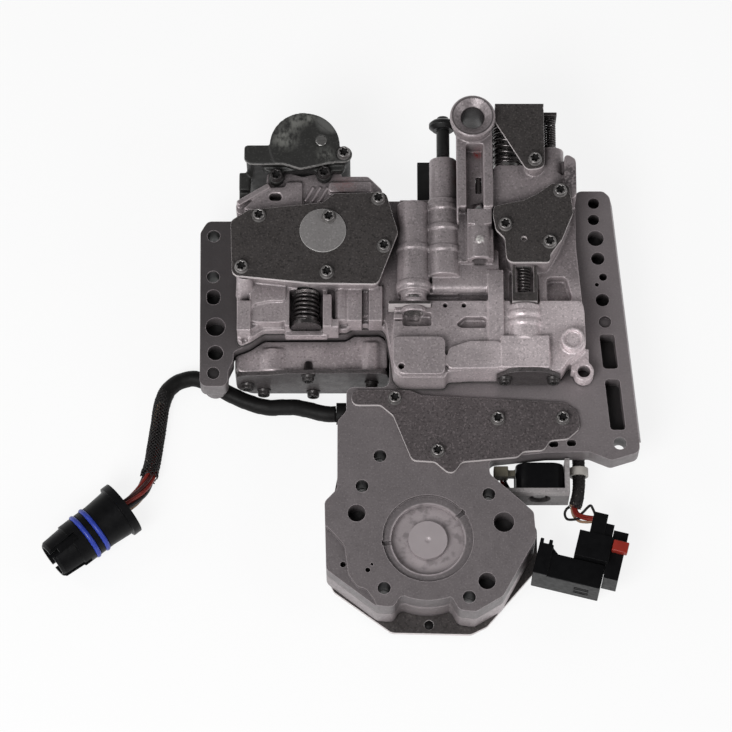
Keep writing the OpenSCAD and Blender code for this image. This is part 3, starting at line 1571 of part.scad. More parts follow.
module branch_wires() {
    color("firebrick")
    for (k = [0:2])
        sweep(wire_path(k), wire_d / 2, 8, [0, 0, 1]);
}

// Rubber grommets where the harness enters the lower housing
module harness_grommets() {
    color("black")
    union() {
        translate([-50.8, 81, -25]) rotate([0, 90, 0]) cylinder(d = harness_d + 3, h = 5.6);
        translate([62.2, 104, -26]) rotate([0, 90, 0]) cylinder(d = branch_d + 4, h = 3.6);
    }
}

transfer_plate();
upper_separator();
lower_separator();
lower_housing();
bottom_cover();
upper_housing();
accumulator_housing();
accumulator_cover();
accumulator_plug();
accumulator_piston();
accumulator_spring();
left_cover_plate();
id_tag();
right_cover_plate();
stiffener_plate();
regulator_bracket();
spring_bracket();
left_end_cover();
right_end_cover();
rear_stop_bracket();
manual_valve();
regulator_valve();
regulator_spring();
switch_valve();
switch_spring();
throttle_valve();
throttle_spring();
kickdown_plunger();
shuttle_valve();
shuttle_spring();
shuttle_seat();
boost_valve();
boost_spring();
boost_plug();
boost_retainer();
shift_valve_12();
shift_spring_12();
shift_valve_23();
shift_spring_23();
detent_ball();
detent_spring();
check_balls();
cover_screws();
stiffener_screws();
end_cover_screws();
housing_screws();
solenoid_bracket();
solenoid_coil();
solenoid_terminal();
solenoid_plunger();
sensor_block();
sensor_connector();
connector_lock();
loom_clip();
case_connector();
connector_seals();
harness_main();
harness_branch();
branch_wires();
harness_grommets();
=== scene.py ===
import json
import math

import bmesh
import bpy
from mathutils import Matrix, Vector


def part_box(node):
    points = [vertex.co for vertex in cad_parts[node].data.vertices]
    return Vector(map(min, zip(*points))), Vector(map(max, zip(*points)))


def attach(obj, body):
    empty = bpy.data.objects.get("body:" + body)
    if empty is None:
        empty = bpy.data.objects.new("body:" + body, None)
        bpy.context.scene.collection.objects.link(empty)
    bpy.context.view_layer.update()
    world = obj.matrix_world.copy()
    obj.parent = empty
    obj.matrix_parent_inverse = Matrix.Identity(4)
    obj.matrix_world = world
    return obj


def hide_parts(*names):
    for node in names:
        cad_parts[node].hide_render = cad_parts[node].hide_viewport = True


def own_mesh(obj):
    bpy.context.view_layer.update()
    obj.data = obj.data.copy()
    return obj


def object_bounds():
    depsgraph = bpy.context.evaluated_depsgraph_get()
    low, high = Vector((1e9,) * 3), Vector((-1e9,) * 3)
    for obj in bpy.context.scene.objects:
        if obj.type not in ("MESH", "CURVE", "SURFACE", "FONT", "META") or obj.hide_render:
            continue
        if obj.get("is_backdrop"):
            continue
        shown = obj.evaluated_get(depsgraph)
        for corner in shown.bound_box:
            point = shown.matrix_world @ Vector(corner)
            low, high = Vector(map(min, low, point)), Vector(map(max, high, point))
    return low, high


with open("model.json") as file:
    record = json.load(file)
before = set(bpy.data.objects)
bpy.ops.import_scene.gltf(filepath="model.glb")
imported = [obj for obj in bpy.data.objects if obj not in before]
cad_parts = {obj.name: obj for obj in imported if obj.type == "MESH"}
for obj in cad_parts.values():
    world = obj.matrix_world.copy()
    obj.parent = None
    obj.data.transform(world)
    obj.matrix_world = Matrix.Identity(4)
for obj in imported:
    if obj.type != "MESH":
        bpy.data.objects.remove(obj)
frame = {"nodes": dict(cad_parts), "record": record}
nodes = frame["nodes"]
cad_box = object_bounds()
MM = 0.001
HOUSING = "housing"
REST_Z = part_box("lower_housing")[0].z
# Points closer than this are one point
WELD = 0.002 * MM

# Camera of the photograph: 70 degrees above the horizon, looking along +Y
CAMERA_PLACE = Vector((-34.1, -588.3, 1892.9)) * MM
CAMERA_TILT = math.radians(20)
IMAGE_SIZE = 732
FOCAL_PIXELS = 3600
SENSOR_WIDTH = 36


def add_object(name, data):
    thing = bpy.data.objects.new(name, data)
    bpy.context.scene.collection.objects.link(thing)
    return thing


def make_camera():
    data = bpy.data.cameras.new("photo_camera")
    data.sensor_width = SENSOR_WIDTH
    data.lens = SENSOR_WIDTH * FOCAL_PIXELS / IMAGE_SIZE
    data.clip_start = 0.1
    data.clip_end = 20
    camera = add_object("photo_camera", data)
    camera.location = CAMERA_PLACE
    camera.rotation_euler = (CAMERA_TILT, 0, 0)
    bpy.context.scene.camera = camera


def times(tone, share, added=0.0):
    """A tone made darker or brighter, and lifted by a little grey."""
    return tuple(min(1.0, share * c + added) for c in tone)


# Rays that a material sends out to look for edges and corners
SHADER_SAMPLES = 6


class Shader:
    """A principled material put together from a few kinds of node."""

    def __init__(self, name, roughness=0.5, metallic=0.0, specular=0.5):
        self.material = bpy.data.materials.new(name)
        self.material.use_nodes = True
        self.tree = self.material.node_tree
        self.surface = self.tree.nodes["Principled BSDF"]
        self.surface.inputs["Metallic"].default_value = metallic
        self.surface.inputs["Roughness"].default_value = roughness
        self.surface.inputs["Specular IOR Level"].default_value = specular
        self.place = self.tree.nodes.new("ShaderNodeTexCoord").outputs["Object"]

    def link(self, output, target):
        self.tree.links.new(output, target)

    def put(self, value, target):
        """Sets a socket to a number or a colour, or links an output to it."""
        if isinstance(value, (int, float)):
            target.default_value = value
        elif isinstance(value, tuple):
            target.default_value = (*value, 1)
        else:
            self.link(value, target)

    def noise(self, scale, detail=3.0, stretch=None):
        """Noise with features of about 1 / scale metres."""
        node = self.tree.nodes.new("ShaderNodeTexNoise")
        node.inputs["Scale"].default_value = scale
        node.inputs["Detail"].default_value = detail
        place = self.place
        if stretch:
            mapping = self.tree.nodes.new("ShaderNodeMapping")
            mapping.inputs["Scale"].default_value = stretch
            self.link(place, mapping.inputs["Vector"])
            place = mapping.outputs["Vector"]
        self.link(place, node.inputs["Vector"])
        return node.outputs["Fac"]

    def ramp(self, factor, *stops):
        """A colour ramp from (position, colour) stops."""
        node = self.tree.nodes.new("ShaderNodeValToRGB")
        elements = node.color_ramp.elements
        while len(elements) < len(stops):
            elements.new(0.5)
        for element, (position, colour) in zip(elements, stops):
            element.position = position
            element.color = (*colour, 1)
        self.link(factor, node.inputs["Fac"])
        return node.outputs["Color"]

    def mask(self, factor, low, high, share=1.0):
        """Nought below low, share above high."""
        return self.ramp(factor, (low, (0, 0, 0)), (high, (share,) * 3))

    def mix(self, factor, a, b, mode="MIX"):
        """Blends two colours, each an output or three numbers."""
        node = self.tree.nodes.new("ShaderNodeMix")
        node.data_type = "RGBA"
        node.blend_type = mode
        self.put(factor, node.inputs[0])
        self.put(a, node.inputs[6])
        self.put(b, node.inputs[7])
        return node.outputs[2]

    def math(self, operation, a, b):
        node = self.tree.nodes.new("ShaderNodeMath")
        node.operation = operation
        self.put(a, node.inputs[0])
        self.put(b, node.inputs[1])
        return node.outputs[0]

    def both(self, a, b):
        """The product of two masks, or of a mask and a share."""
        return self.math("MULTIPLY", a, b)

    def without(self, mask):
        """One where a mask is nought, and nought where it is one."""
        return self.math("SUBTRACT", 1.0, mask)

    def scaled(self, colour, share):
        """A colour made darker or brighter."""
        return self.mix(1.0, colour, (share,) * 3, "MULTIPLY")

    def span(self, value, low, high):
        """Nought at low, one at high, in metres."""
        node = self.tree.nodes.new("ShaderNodeMapRange")
        node.inputs["From Min"].default_value = low
        node.inputs["From Max"].default_value = high
        self.link(value, node.inputs["Value"])
        return node.outputs["Result"]

    def along(self, axis, low, high):
        """Nought at low, one at high, in millimetres along X, Y or Z."""
        split = self.tree.nodes.new("ShaderNodeSeparateXYZ")
        self.link(self.place, split.inputs[0])
        return self.span(split.outputs[axis], low * MM, high * MM)

    def near(self, place, inner, outer):
        """One within inner of a place, nought beyond outer, in millimetres."""
        node = self.tree.nodes.new("ShaderNodeVectorMath")
        node.operation = "DISTANCE"
        self.link(self.place, node.inputs[0])
        node.inputs[1].default_value = Vector(place) * MM
        return self.span(node.outputs["Value"], outer * MM, inner * MM)

    def around(self, x, y, inner, outer):
        """One within inner of an upright axis, nought beyond outer, in millimetres."""
        flat = self.tree.nodes.new("ShaderNodeVectorMath")
        flat.operation = "MULTIPLY"
        self.link(self.place, flat.inputs[0])
        flat.inputs[1].default_value = (1, 1, 0)
        node = self.tree.nodes.new("ShaderNodeVectorMath")
        node.operation = "DISTANCE"
        self.link(flat.outputs["Vector"], node.inputs[0])
        node.inputs[1].default_value = Vector((x, y, 0)) * MM
        return self.span(node.outputs["Value"], outer * MM, inner * MM)

    def edges(self, radius):
        """One along edges, from how far a rounded normal turns away from the true one."""
        rounded = self.tree.nodes.new("ShaderNodeBevel")
        rounded.samples = SHADER_SAMPLES
        rounded.inputs["Radius"].default_value = radius
        true = self.tree.nodes.new("ShaderNodeNewGeometry")
        dot = self.tree.nodes.new("ShaderNodeVectorMath")
        dot.operation = "DOT_PRODUCT"
        self.link(rounded.outputs["Normal"], dot.inputs[0])
        self.link(true.outputs["Normal"], dot.inputs[1])
        return self.ramp(dot.outputs["Value"], (0.80, (1, 1, 1)), (0.985, (0, 0, 0)))

    def pointed(self, low, high, share=1.0):
        """One on convex edges of a fine mesh."""
        node = self.tree.nodes.new("ShaderNodeNewGeometry")
        return self.mask(node.outputs["Pointiness"], low, high, share)

    def crevices(self, distance):
        """Nought deep in corners and pockets, one in the open."""
        node = self.tree.nodes.new("ShaderNodeAmbientOcclusion")
        node.samples = SHADER_SAMPLES
        node.inputs["Distance"].default_value = distance
        return node.outputs["AO"]

    def grime_and_shade(self, colour, distance, darkest, clear=0.75):
        """Darkens a colour in corners and pockets: painted shade, which also stands for dirt there."""
        shade = self.ramp(self.crevices(distance), (0.05, (darkest,) * 3), (clear, (1, 1, 1)))
        return self.mix(1.0, colour, shade, "MULTIPLY")

    def facing_up(self):
        """One on faces that look up or down, nought on upright sides."""
        normal = self.tree.nodes.new("ShaderNodeTexCoord").outputs["Normal"]
        split = self.tree.nodes.new("ShaderNodeSeparateXYZ")
        self.link(normal, split.inputs[0])
        return self.mask(self.math("ABSOLUTE", split.outputs["Z"], 0.0), 0.45, 0.75)

    def marks(self, colour, marks):
        """Worn traces and stains: rows of place, inner and outer reach, tone and strength."""
        for place, inner, outer, tone, strength in marks:
            wear_and_light = self.mask(self.noise(700, 3), 0.36, 0.56, strength)
            colour = self.mix(self.both(self.near(place, inner, outer), wear_and_light), colour, tone)
        return colour

    def colour(self, output):
        self.link(output, self.surface.inputs["Base Color"])

    def rough(self, factor, low, high):
        grey = self.ramp(factor, (0.3, (low,) * 3), (0.7, (high,) * 3))
        self.link(grey, self.surface.inputs["Roughness"])

    def bump(self, height, distance, strength=1.0):
        node = self.tree.nodes.new("ShaderNodeBump")
        node.inputs["Strength"].default_value = strength
        node.inputs["Distance"].default_value = distance
        self.link(height, node.inputs["Height"])
        self.link(node.outputs["Normal"], self.surface.inputs["Normal"])


# The manual shaft's upright axis, and pairs of radii between which a mark round it fades, in mm
SHAFT_AXIS = (25.8, 235)
SHAFT_BORE = (6.5, 6.9)
LINE_INNER = (10.7, 11.0)
LINE_OUTER = (11.5, 11.8)
# Where castings are painted paler towards the front and right as painted light, and painted darker lower
# down as the plate's shade, in mm
PAINTED_LIGHT_X = (10, 62)
PAINTED_LIGHT_Y = (150, 128)
SHADED_Z = (-13.5, -15.5)


def cast_metal(name, tone, grain=1.0, metallic=0.35, grime_and_shade_strength=0.8, rough=(0.34, 0.50), marks=(),
               fine_mesh=True):
    """As-cast alloy: speckled, with painted shade in its corners that also stands for dirt, painted light
    on its walls and towards the front and right, painted highlights along its edges and painted shade lower
    down.
    """
    s = Shader(name, metallic=metallic)
    colour = s.mix(s.mask(s.noise(60), 0.38, 0.66), times(tone, 0.88), times(tone, 1.08))
    speckle = s.noise(900, 2)
    colour = s.mix(s.mask(speckle, 0.54, 0.68, 0.5), colour, times(tone, 1.7))
    colour = s.mix(s.mask(s.noise(760, 2), 0.57, 0.68, 0.75), colour, times(tone, 0.58))
    # Painted light: upright walls made paler, as lit from the front
    colour = s.mix(s.facing_up(), s.scaled(colour, 1.45), colour)
    # Painted light: paler towards the front and right
    wear_and_light = s.math("ADD", s.both(s.along("X", *PAINTED_LIGHT_X), 0.8), 0.2)
    painted_light = s.both(wear_and_light, s.along("Y", *PAINTED_LIGHT_Y))
    colour = s.mix(s.both(painted_light, 0.8), colour, s.scaled(colour, 2.6))
    # Painted highlight along the edges
    edges = s.pointed(0.512, 0.565, 0.85) if fine_mesh else s.edges(0.7 * MM)
    colour = s.mix(edges, colour, times(tone, 2.0))
    colour = s.marks(colour, marks)
    # The turned line round the shaft's countersink, then painted shade inside its bore
    inside = s.around(*SHAFT_AXIS, *LINE_INNER)
    line = s.both(s.around(*SHAFT_AXIS, *LINE_OUTER), s.without(inside))
    colour = s.mix(s.both(line, 0.75), colour, times(tone, 0.15))
    colour = s.mix(s.around(*SHAFT_AXIS, *SHAFT_BORE), colour, times(tone, 0.16))
    colour = s.mix(s.along("Z", *SHADED_Z), colour, s.scaled(colour, 0.52))
    # Painted shade in corners and pockets, which also stands for dirt
    s.colour(s.grime_and_shade(colour, 8 * MM, 1 - grime_and_shade_strength, 0.9))
    s.rough(s.noise(160), *rough)
    s.bump(speckle, 0.16 * grain * MM, 0.8)
    return s.material


# Bolt holes of the left strip, then those of the lobe, and where the painted shade inside them fades, in mm
BOLT_HOLES = (
    (-120.4, 179), (-120.4, 154.2), (-119, 96.2),
    (-26.3, 47.6), (-36.3, 30.1), (33.8, 25.4), (22.4, -33.7), (-24.2, -28.6),
)
HOLE_EDGE = (3.9, 4.3)
HOLE_DEPTH = (-0.8, -3.2)
# The plate's hub in mm: the space kept clear round it, the turned seat and the face of the hub
HUB_SPACE = ((0, 0, -5), 25, 27)
SEAT_EDGE = (20.6, 21.4)
SEAT_DEPTH = (-1.2, -2.0)
HUB_FACE = ((0, 0, -3.4), 10, 11.4)
# Where the plate's tops are painted darker as shade, where it is painted paler as light, and where the
# floors of its pockets are painted dark as shade, in mm
SHADED_BACK_X = (-60, -100)
SHADED_BACK_Y = (60, 130)
LIT_PATCH_X = (10, 60)
LIT_PATCH_Y = (30, 80)
POCKET_DEPTH = (-3.4, -6)


def machined_metal(name, tone):
    """Milled casting: fine even grain, rear strips darkened by painted shade, pockets and holes darkened by
    painted shade, a patch and the hub paled by painted light, and broken edges brightened by painted
    highlights.
    """
    s = Shader(name, metallic=0.25)
    colour = s.mix(s.mask(s.noise(50), 0.36, 0.66), times(tone, 0.94), times(tone, 1.04))
    fine = s.noise(1050, 2)
    colour = s.mix(s.mask(fine, 0.55, 0.68, 0.55), colour, times(tone, 1.6))
    colour = s.mix(s.mask(s.noise(800, 2), 0.57, 0.68, 0.6), colour, times(tone, 0.65))
    # Painted shade on the tops of the rear strips, strongest on the left
    shaded_top = s.both(s.along("Y", *SHADED_BACK_Y), s.facing_up())
    strength = s.math("ADD", s.both(s.along("X", *SHADED_BACK_X), 0.64), 0.2)
    colour = s.mix(s.both(shaded_top, strength), colour, times(tone, 0.26))
    # Painted light: a paler patch on the middle of the plate
    lit_patch = s.both(s.along("X", *LIT_PATCH_X), s.along("Y", *LIT_PATCH_Y))
    colour = s.mix(s.both(lit_patch, 0.32), colour, times(tone, 2.1))
    # Painted highlight along the edges
    colour = s.mix(s.edges(0.6 * MM), colour, times(tone, 3.0))
    # Painted shade on the floors of the pockets, away from the hub
    away = s.without(s.near(*HUB_SPACE))
    sunk = s.both(away, s.both(s.along("Z", *POCKET_DEPTH), s.facing_up()))
    colour = s.mix(s.both(sunk, 0.9), colour, times(tone, 0.1))
    # The turned seat round the hub: painted pale as a painted reflection, with stains
    seat = s.both(s.around(0, 0, *SEAT_EDGE), s.along("Z", *SEAT_DEPTH))
    sheen_and_stains = s.mix(s.mask(s.noise(190, 3), 0.52, 0.66, 0.6), times(tone, 2.6), times(tone, 1.1))
    colour = s.mix(seat, colour, sheen_and_stains)
    # Painted highlight on the face of the hub
    colour = s.mix(s.near(*HUB_FACE), colour, times(tone, 2.4))
    # Painted shade inside the bolt holes
    depth = s.along("Z", *HOLE_DEPTH)
    for x, y in BOLT_HOLES:
        colour = s.mix(s.both(s.around(x, y, *HOLE_EDGE), depth), colour, times(tone, 0.1))
    # Painted shade in corners and pockets, which also stands for dirt
    s.colour(s.grime_and_shade(colour, 9 * MM, 0.05, 0.68))
    s.rough(s.noise(200), 0.38, 0.52)
    s.bump(fine, 0.03 * MM, 0.6)
    return s.material


def sheet_metal(name, tone, edge_highlight, metallic=0.15, rough=(0.36, 0.50), patch=0.12, upright=False,
                fleck=1.0, edge_above=None):
    """Rolled dark sheet, lying or upright: fine light and dark flecks, stains, and sheared edges painted
    bright as highlights.

    With edge_above, only the upright faces above that height, in mm, count as sheared edges with that
    painted highlight.
    """
    s = Shader(name, metallic=metallic)
    colour = s.mix(s.mask(s.noise(40), 0.36, 0.68), times(tone, 1 - patch), times(tone, 1 + patch / 2))
    fine = s.noise(950, 2)
    colour = s.mix(s.mask(fine, 0.55, 0.68, 0.7 * fleck), colour, times(tone, 2.1))
    colour = s.mix(s.mask(s.noise(800, 2), 0.55, 0.66, 0.85 * fleck), colour, times(tone, 0.4))
    # Painted highlight on the sheared upright sides of a lying sheet
    if not upright:
        sheared = s.without(s.facing_up())
        if edge_above is not None:
            sheared = s.both(sheared, s.along("Z", edge_above - 0.3, edge_above))
        colour = s.mix(sheared, colour, edge_highlight)
    # Painted highlight along the edges
    colour = s.mix(s.edges(0.45 * MM), colour, edge_highlight)
    s.colour(colour)
    s.rough(s.noise(220), *rough)
    s.bump(fine, 0.03 * MM, 0.5)
    return s.material


# The accumulator's cap in mm: chalky smears and a pale spot as place, inner and outer reach, and the
# heights between which its wall, painted black as shade, passes into its rim, painted pale as light
CAP_SMEARS = (
    ((-80, 226, 32), 3, 10), ((-74, 236, 32), 2, 8), ((-66, 238, 32), 1, 6), ((-57, 215, 32), 1, 7),
)
CAP_SPOT = ((-54.6, 236.6, 31.4), 6, 9)
CAP_WALL = 28.8
CAP_RIM = 29.4
CHALK_TONE = (0.20, 0.20, 0.185)
SPOT_TONE = (0.13, 0.13, 0.125)
LIT_RIM_TONE = (0.27, 0.262, 0.255)


def dark_casting(name, tone):
    """Charcoal casting with chalky smears on its round cap, and a rim painted pale as light above a wall
    painted black as shade.
    """
    s = Shader(name, metallic=0.2)
    colour = s.mix(s.mask(s.noise(900, 2), 0.55, 0.70, 0.7), tone, times(tone, 2.4))
    smear = s.mask(s.noise(420, 5, stretch=(1.0, 0.6, 1.0)), 0.38, 0.62, 0.8)
    for place, inner, outer in CAP_SMEARS:
        colour = s.mix(s.both(s.near(place, inner, outer), smear), colour, CHALK_TONE)
    colour = s.mix(s.both(s.near(*CAP_SPOT), 0.8), colour, SPOT_TONE)
    # Painted shade on the wall below the rim, and painted light on the rim
    upright = s.without(s.facing_up())
    wall = s.both(upright, s.along("Z", CAP_RIM, CAP_WALL))
    colour = s.mix(wall, colour, times(tone, 0.5))
    lip = s.both(upright, s.along("Z", CAP_WALL, CAP_RIM))
    colour = s.mix(s.both(lip, s.mask(s.noise(500, 3), 0.2, 0.5)), colour, LIT_RIM_TONE)
    # Painted shade in corners and pockets, which also stands for dirt
    s.colour(s.grime_and_shade(colour, 6 * MM, 0.3))
    s.rough(s.noise(160), 0.42, 0.62)
    s.bump(s.noise(1300, 2), 0.06 * MM, 0.6)
    return s.material


def turned_metal(name, tone, metallic=0.9, rough=(0.22, 0.36), grime_and_shade_reach=0.0):
    """Turned or drawn steel and alloy, with fine rings round the axis, edges painted bright as highlights,
    and, when asked, painted shade in recesses that also stands for dirt.
    """
    s = Shader(name, metallic=metallic)
    rings = s.noise(300, 2, stretch=(0.2, 8.0, 0.2))
    colour = s.mix(s.mask(rings, 0.35, 0.7), times(tone, 0.65), tone)
    # Painted highlight along the edges
    colour = s.mix(s.edges(0.35 * MM), colour, times(tone, 1.7, 0.04))
    # Painted shade in recesses, which also stands for dirt
    if grime_and_shade_reach:
        colour = s.grime_and_shade(colour, grime_and_shade_reach, 0.06, 0.85)
    s.colour(colour)
    s.rough(s.noise(400), *rough)
    s.bump(rings, 0.02 * MM, 0.4)
    return s.material


def moulding(name, tone, rough=(0.34, 0.5), grain=0.03, wear_and_light=0.25, specular=0.35, dust=0.2):
    """Moulded plastic or rubber with a fine grain, dust and edges painted pale as highlights."""
    s = Shader(name, specular=specular)
    pale = times(tone, 1.6, 0.012)
    colour = s.mix(s.mask(s.noise(120), 0.45, 0.75), tone, times(tone, 0.75))
    colour = s.mix(s.mask(s.noise(900), 0.62, 0.74, dust), colour, pale)
    # Painted highlight along the edges
    colour = s.mix(s.both(s.edges(0.4 * MM), wear_and_light), colour, pale)
    s.colour(colour)
    s.rough(s.noise(350), *rough)
    s.bump(s.noise(2500, 2), grain * MM, 0.5)
    return s.material


def woven(name, tone, fleck):
    """Woven sleeve: fine crossing threads with frayed pale fibres."""
    s = Shader(name, specular=0.3)
    weave = s.noise(1800, 1)
    colour = s.mix(s.mask(weave, 0.40, 0.60), times(tone, 0.5), tone)
    colour = s.mix(s.mask(s.noise(1400, 2, stretch=(1, 0.4, 1)), 0.66, 0.70), colour, fleck)
    s.colour(colour)
    s.rough(weave, 0.45, 0.62)
    s.bump(weave, 0.12 * MM, 0.8)
    return s.material


# Marks on the upper housing, as place, inner and outer reach in mm, tone and strength: three red traces by
# the arm, a reddish rub, the pale detent pin, the stained ring of the arm and the dull boss at the rear
CAST_MARKS = (
    ((28.6, 219.8, 21.5), 0.6, 3.2, (0.42, 0.02, 0.015), 0.9),
    ((16.6, 212.8, 20), 1.0, 5.0, (0.30, 0.02, 0.015), 0.8),
    ((18, 203, 22), 1.0, 5.0, (0.22, 0.03, 0.025), 0.6),
    ((-46.5, 202, 22.4), 2.0, 9.0, (0.30, 0.17, 0.17), 0.6),
    ((29.4, 164.5, 31.8), 2.2, 2.8, (0.62, 0.60, 0.58), 1.0),
    ((25.8, 235, 38), 9.0, 14.5, (0.15, 0.13, 0.135), 0.55),
    ((81, 203, 29), 5.0, 9.0, (0.085, 0.075, 0.077), 0.9),
)
# Tone of the dark covers, and the highlight painted on their edges
COVER_TONE = (0.047, 0.0415, 0.0405)
COVER_HIGHLIGHT = (0.66, 0.61, 0.61)
# Finishes by the material slots of the record
MATERIALS = {
    "cast_aluminium": cast_metal("cast_aluminium", (0.282, 0.248, 0.255), metallic=0.42, grime_and_shade_strength=0.88,
                                 marks=CAST_MARKS),
    "machined_aluminium": machined_metal("machined_aluminium", (0.154, 0.137, 0.141)),
    "dark_casting": dark_casting("dark_casting", (0.024, 0.0237, 0.0225)),
    "cover_steel": sheet_metal("cover_steel", COVER_TONE, COVER_HIGHLIGHT),
    "stiffener_steel": sheet_metal("stiffener_steel", (0.085, 0.073, 0.075), (0.70, 0.65, 0.65)),
    "separator_steel": sheet_metal("separator_steel", (0.05, 0.046, 0.046), (0.10, 0.09, 0.09)),
    "tag_steel": sheet_metal("tag_steel", (0.255, 0.243, 0.241), (0.85, 0.83, 0.82), 0.3, (0.3, 0.42),
                             fleck=0.3),
    "screw_steel": turned_metal("screw_steel", (0.30, 0.285, 0.28), 0.7, (0.24, 0.38), 0.9 * MM),
    "valve_aluminium": turned_metal("valve_aluminium", (0.42, 0.41, 0.40)),
    "black_valve": turned_metal("black_valve", (0.012, 0.012, 0.012), 0.2, (0.3, 0.45)),
    "spring_steel": turned_metal("spring_steel", (0.12, 0.11, 0.11), 0.85, (0.22, 0.36)),
    "bright_steel": turned_metal("bright_steel", (0.60, 0.60, 0.60), 1.0, (0.10, 0.18)),
    "bracket_alloy": cast_metal("bracket_alloy", (0.12, 0.112, 0.112), 0.4, 0.15, 0.4, (0.5, 0.65),
                                fine_mesh=False),
    "black_plastic": moulding("black_plastic", (0.0035, 0.0035, 0.004), (0.32, 0.46), specular=0.12),
    "white_nylon": moulding("white_nylon", (0.42, 0.40, 0.37), (0.35, 0.5), 0.02, 0.0),
    "red_plastic": moulding("red_plastic", (0.26, 0.022, 0.014), (0.3, 0.42)),
    "blue_seal": moulding("blue_seal", (0.022, 0.045, 0.33), (0.28, 0.42), 0.02),
    "black_rubber": moulding("black_rubber", (0.005, 0.0045, 0.0045), (0.5, 0.65), specular=0.2),
    "braid": woven("braid", (0.012, 0.010, 0.010), (0.12, 0.11, 0.10)),
    "wire": moulding("wire", (0.19, 0.016, 0.010), (0.32, 0.45), 0.01),
}
# Finish of the upright end covers
END_STEEL = sheet_metal("end_cover_steel", (0.066, 0.058, 0.059), (0.30, 0.28, 0.28), upright=True)
# Finish of the folded regulator bracket, whose walls are as dark as its top below a lip painted bright as a
# highlight, in mm
BRACKET_LIP = 2.2
BRACKET_STEEL = sheet_metal("bracket_steel", COVER_TONE, COVER_HIGHLIGHT,
                            edge_above=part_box("regulator_bracket")[1].z / MM - BRACKET_LIP)
# Finish of the solenoid terminal: olive nylon, darkened as painted shade
SHADED_OLIVE_NYLON = moulding("shaded_olive_nylon", (0.11, 0.10, 0.075), (0.35, 0.5), 0.02, 0.1)
# Finishes of the single wires
WIRES = {
    "red": MATERIALS["wire"],
    "dark_red": moulding("dark_red_wire", (0.045, 0.010, 0.009), (0.35, 0.5), 0.01),
    "tan": moulding("tan_wire", (0.30, 0.19, 0.12), (0.35, 0.5), 0.01),
    "black": moulding("black_wire", (0.012, 0.011, 0.011), (0.32, 0.45), 0.01),
}


def paint(thing, *materials):
    """Fills a mesh's material slots without touching which slot each face has."""
    slots = thing.data.materials
    for i, material in enumerate(materials):
        if i < len(slots):
            slots[i] = material
        else:
            slots.append(material)


def new_piece(name, mesh, slot, body=HOUSING, replaced=()):
    """Puts a finished mesh into the scene on its body, with its finish."""
    piece = add_object(name, mesh)
    paint(piece, MATERIALS[slot])
    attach(piece, body)
    if replaced:
        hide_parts(*replaced)
    return piece


def shade_smooth(mesh):
    mesh.polygons.foreach_set("use_smooth", [True] * len(mesh.polygons))


def mesh_from(name, build):
    """A smooth-shaded mesh from a function that fills a bmesh."""
    made = bmesh.new()
    build(made)
    bmesh.ops.recalc_face_normals(made, faces=made.faces)
    mesh = bpy.data.meshes.new(name)
    made.to_mesh(mesh)
    made.free()
    shade_smooth(mesh)
    return mesh


def built_piece(name, slot, build, replaced=(), finishes=()):
    """A piece from a function that fills a bmesh; finishes, if any, fill its material slots in turn."""
    piece = new_piece(name, mesh_from(name, build), slot, replaced=replaced)
    paint(piece, *finishes)
    return piece


def dress_nodes():
    """Gives every solid the finish of its slot."""
    for part in frame["record"]["subparts"]:
        paint(nodes[part["node"]], MATERIALS[part["material_slot"]])
    for name in ("left_end_cover", "right_end_cover"):
        paint(nodes[name], END_STEEL)
    paint(nodes["regulator_bracket"], BRACKET_STEEL)
    paint(nodes["solenoid_terminal"], SHADED_OLIVE_NYLON)


# Solids lose face borders flatter than the first angle and have edges sharper than the second rounded
FLAT_ANGLE = math.radians(0.6)
SHARP_ANGLE = math.radians(34)


def soften(name, width):
    """Rounds the sharp edges of a solid that stays in view."""
    node = nodes[name]
    shade_smooth(node.data)
    weld = node.modifiers.new("weld", "WELD")
    weld.merge_threshold = WELD
    flat = node.modifiers.new("flat", "DECIMATE")
    flat.decimate_type = "DISSOLVE"
    flat.angle_limit = FLAT_ANGLE
    bevel = node.modifiers.new("bevel", "BEVEL")
    bevel.width = width
    bevel.segments = 2
    bevel.limit_method = "ANGLE"
    bevel.angle_limit = SHARP_ANGLE
    bevel.use_clamp_overlap = True
    node.modifiers.new("normals", "WEIGHTED_NORMAL").keep_sharp = False


# Where the shaft arm runs out beside and above the detent tube: low and high corner, in mm
ARM_MOUTH = (
    ((17.6, 150, 23), (22.5, 183.6, 40)),
    ((22.4, 172, 31.1), (38.6, 183.6, 40)),
    ((36.3, 172, 22), (38.6, 183.6, 40)),
    ((22, 183, 23), (31.6, 187, 40)),
)


def cut_away(work, boxes):
    """Takes boxes out of a mesh; gives back the cutters, to be removed once the result is made."""
    cutters = []
    for low, high in boxes:
        def build(made):
            bmesh.ops.create_cube(made, size=1.0)
            for v in made.verts:
                v.co = Vector([(a if c < 0 else b) * MM for c, a, b in zip(v.co, low, high)])
        cutter = add_object("cutter", mesh_from("cutter", build))
        cut = work.modifiers.new("cut", "BOOLEAN")
        cut.operation = "DIFFERENCE"
        cut.solver = "EXACT"
        cut.object = cutter
        cutters.append(cutter)
    return cutters


def welded(name):
    """A node's solids as a bmesh, with the points that lie together made one."""
    made = bmesh.new()
    made.from_mesh(nodes[name].data)
    bmesh.ops.remove_doubles(made, verts=made.verts, dist=WELD)
    return made


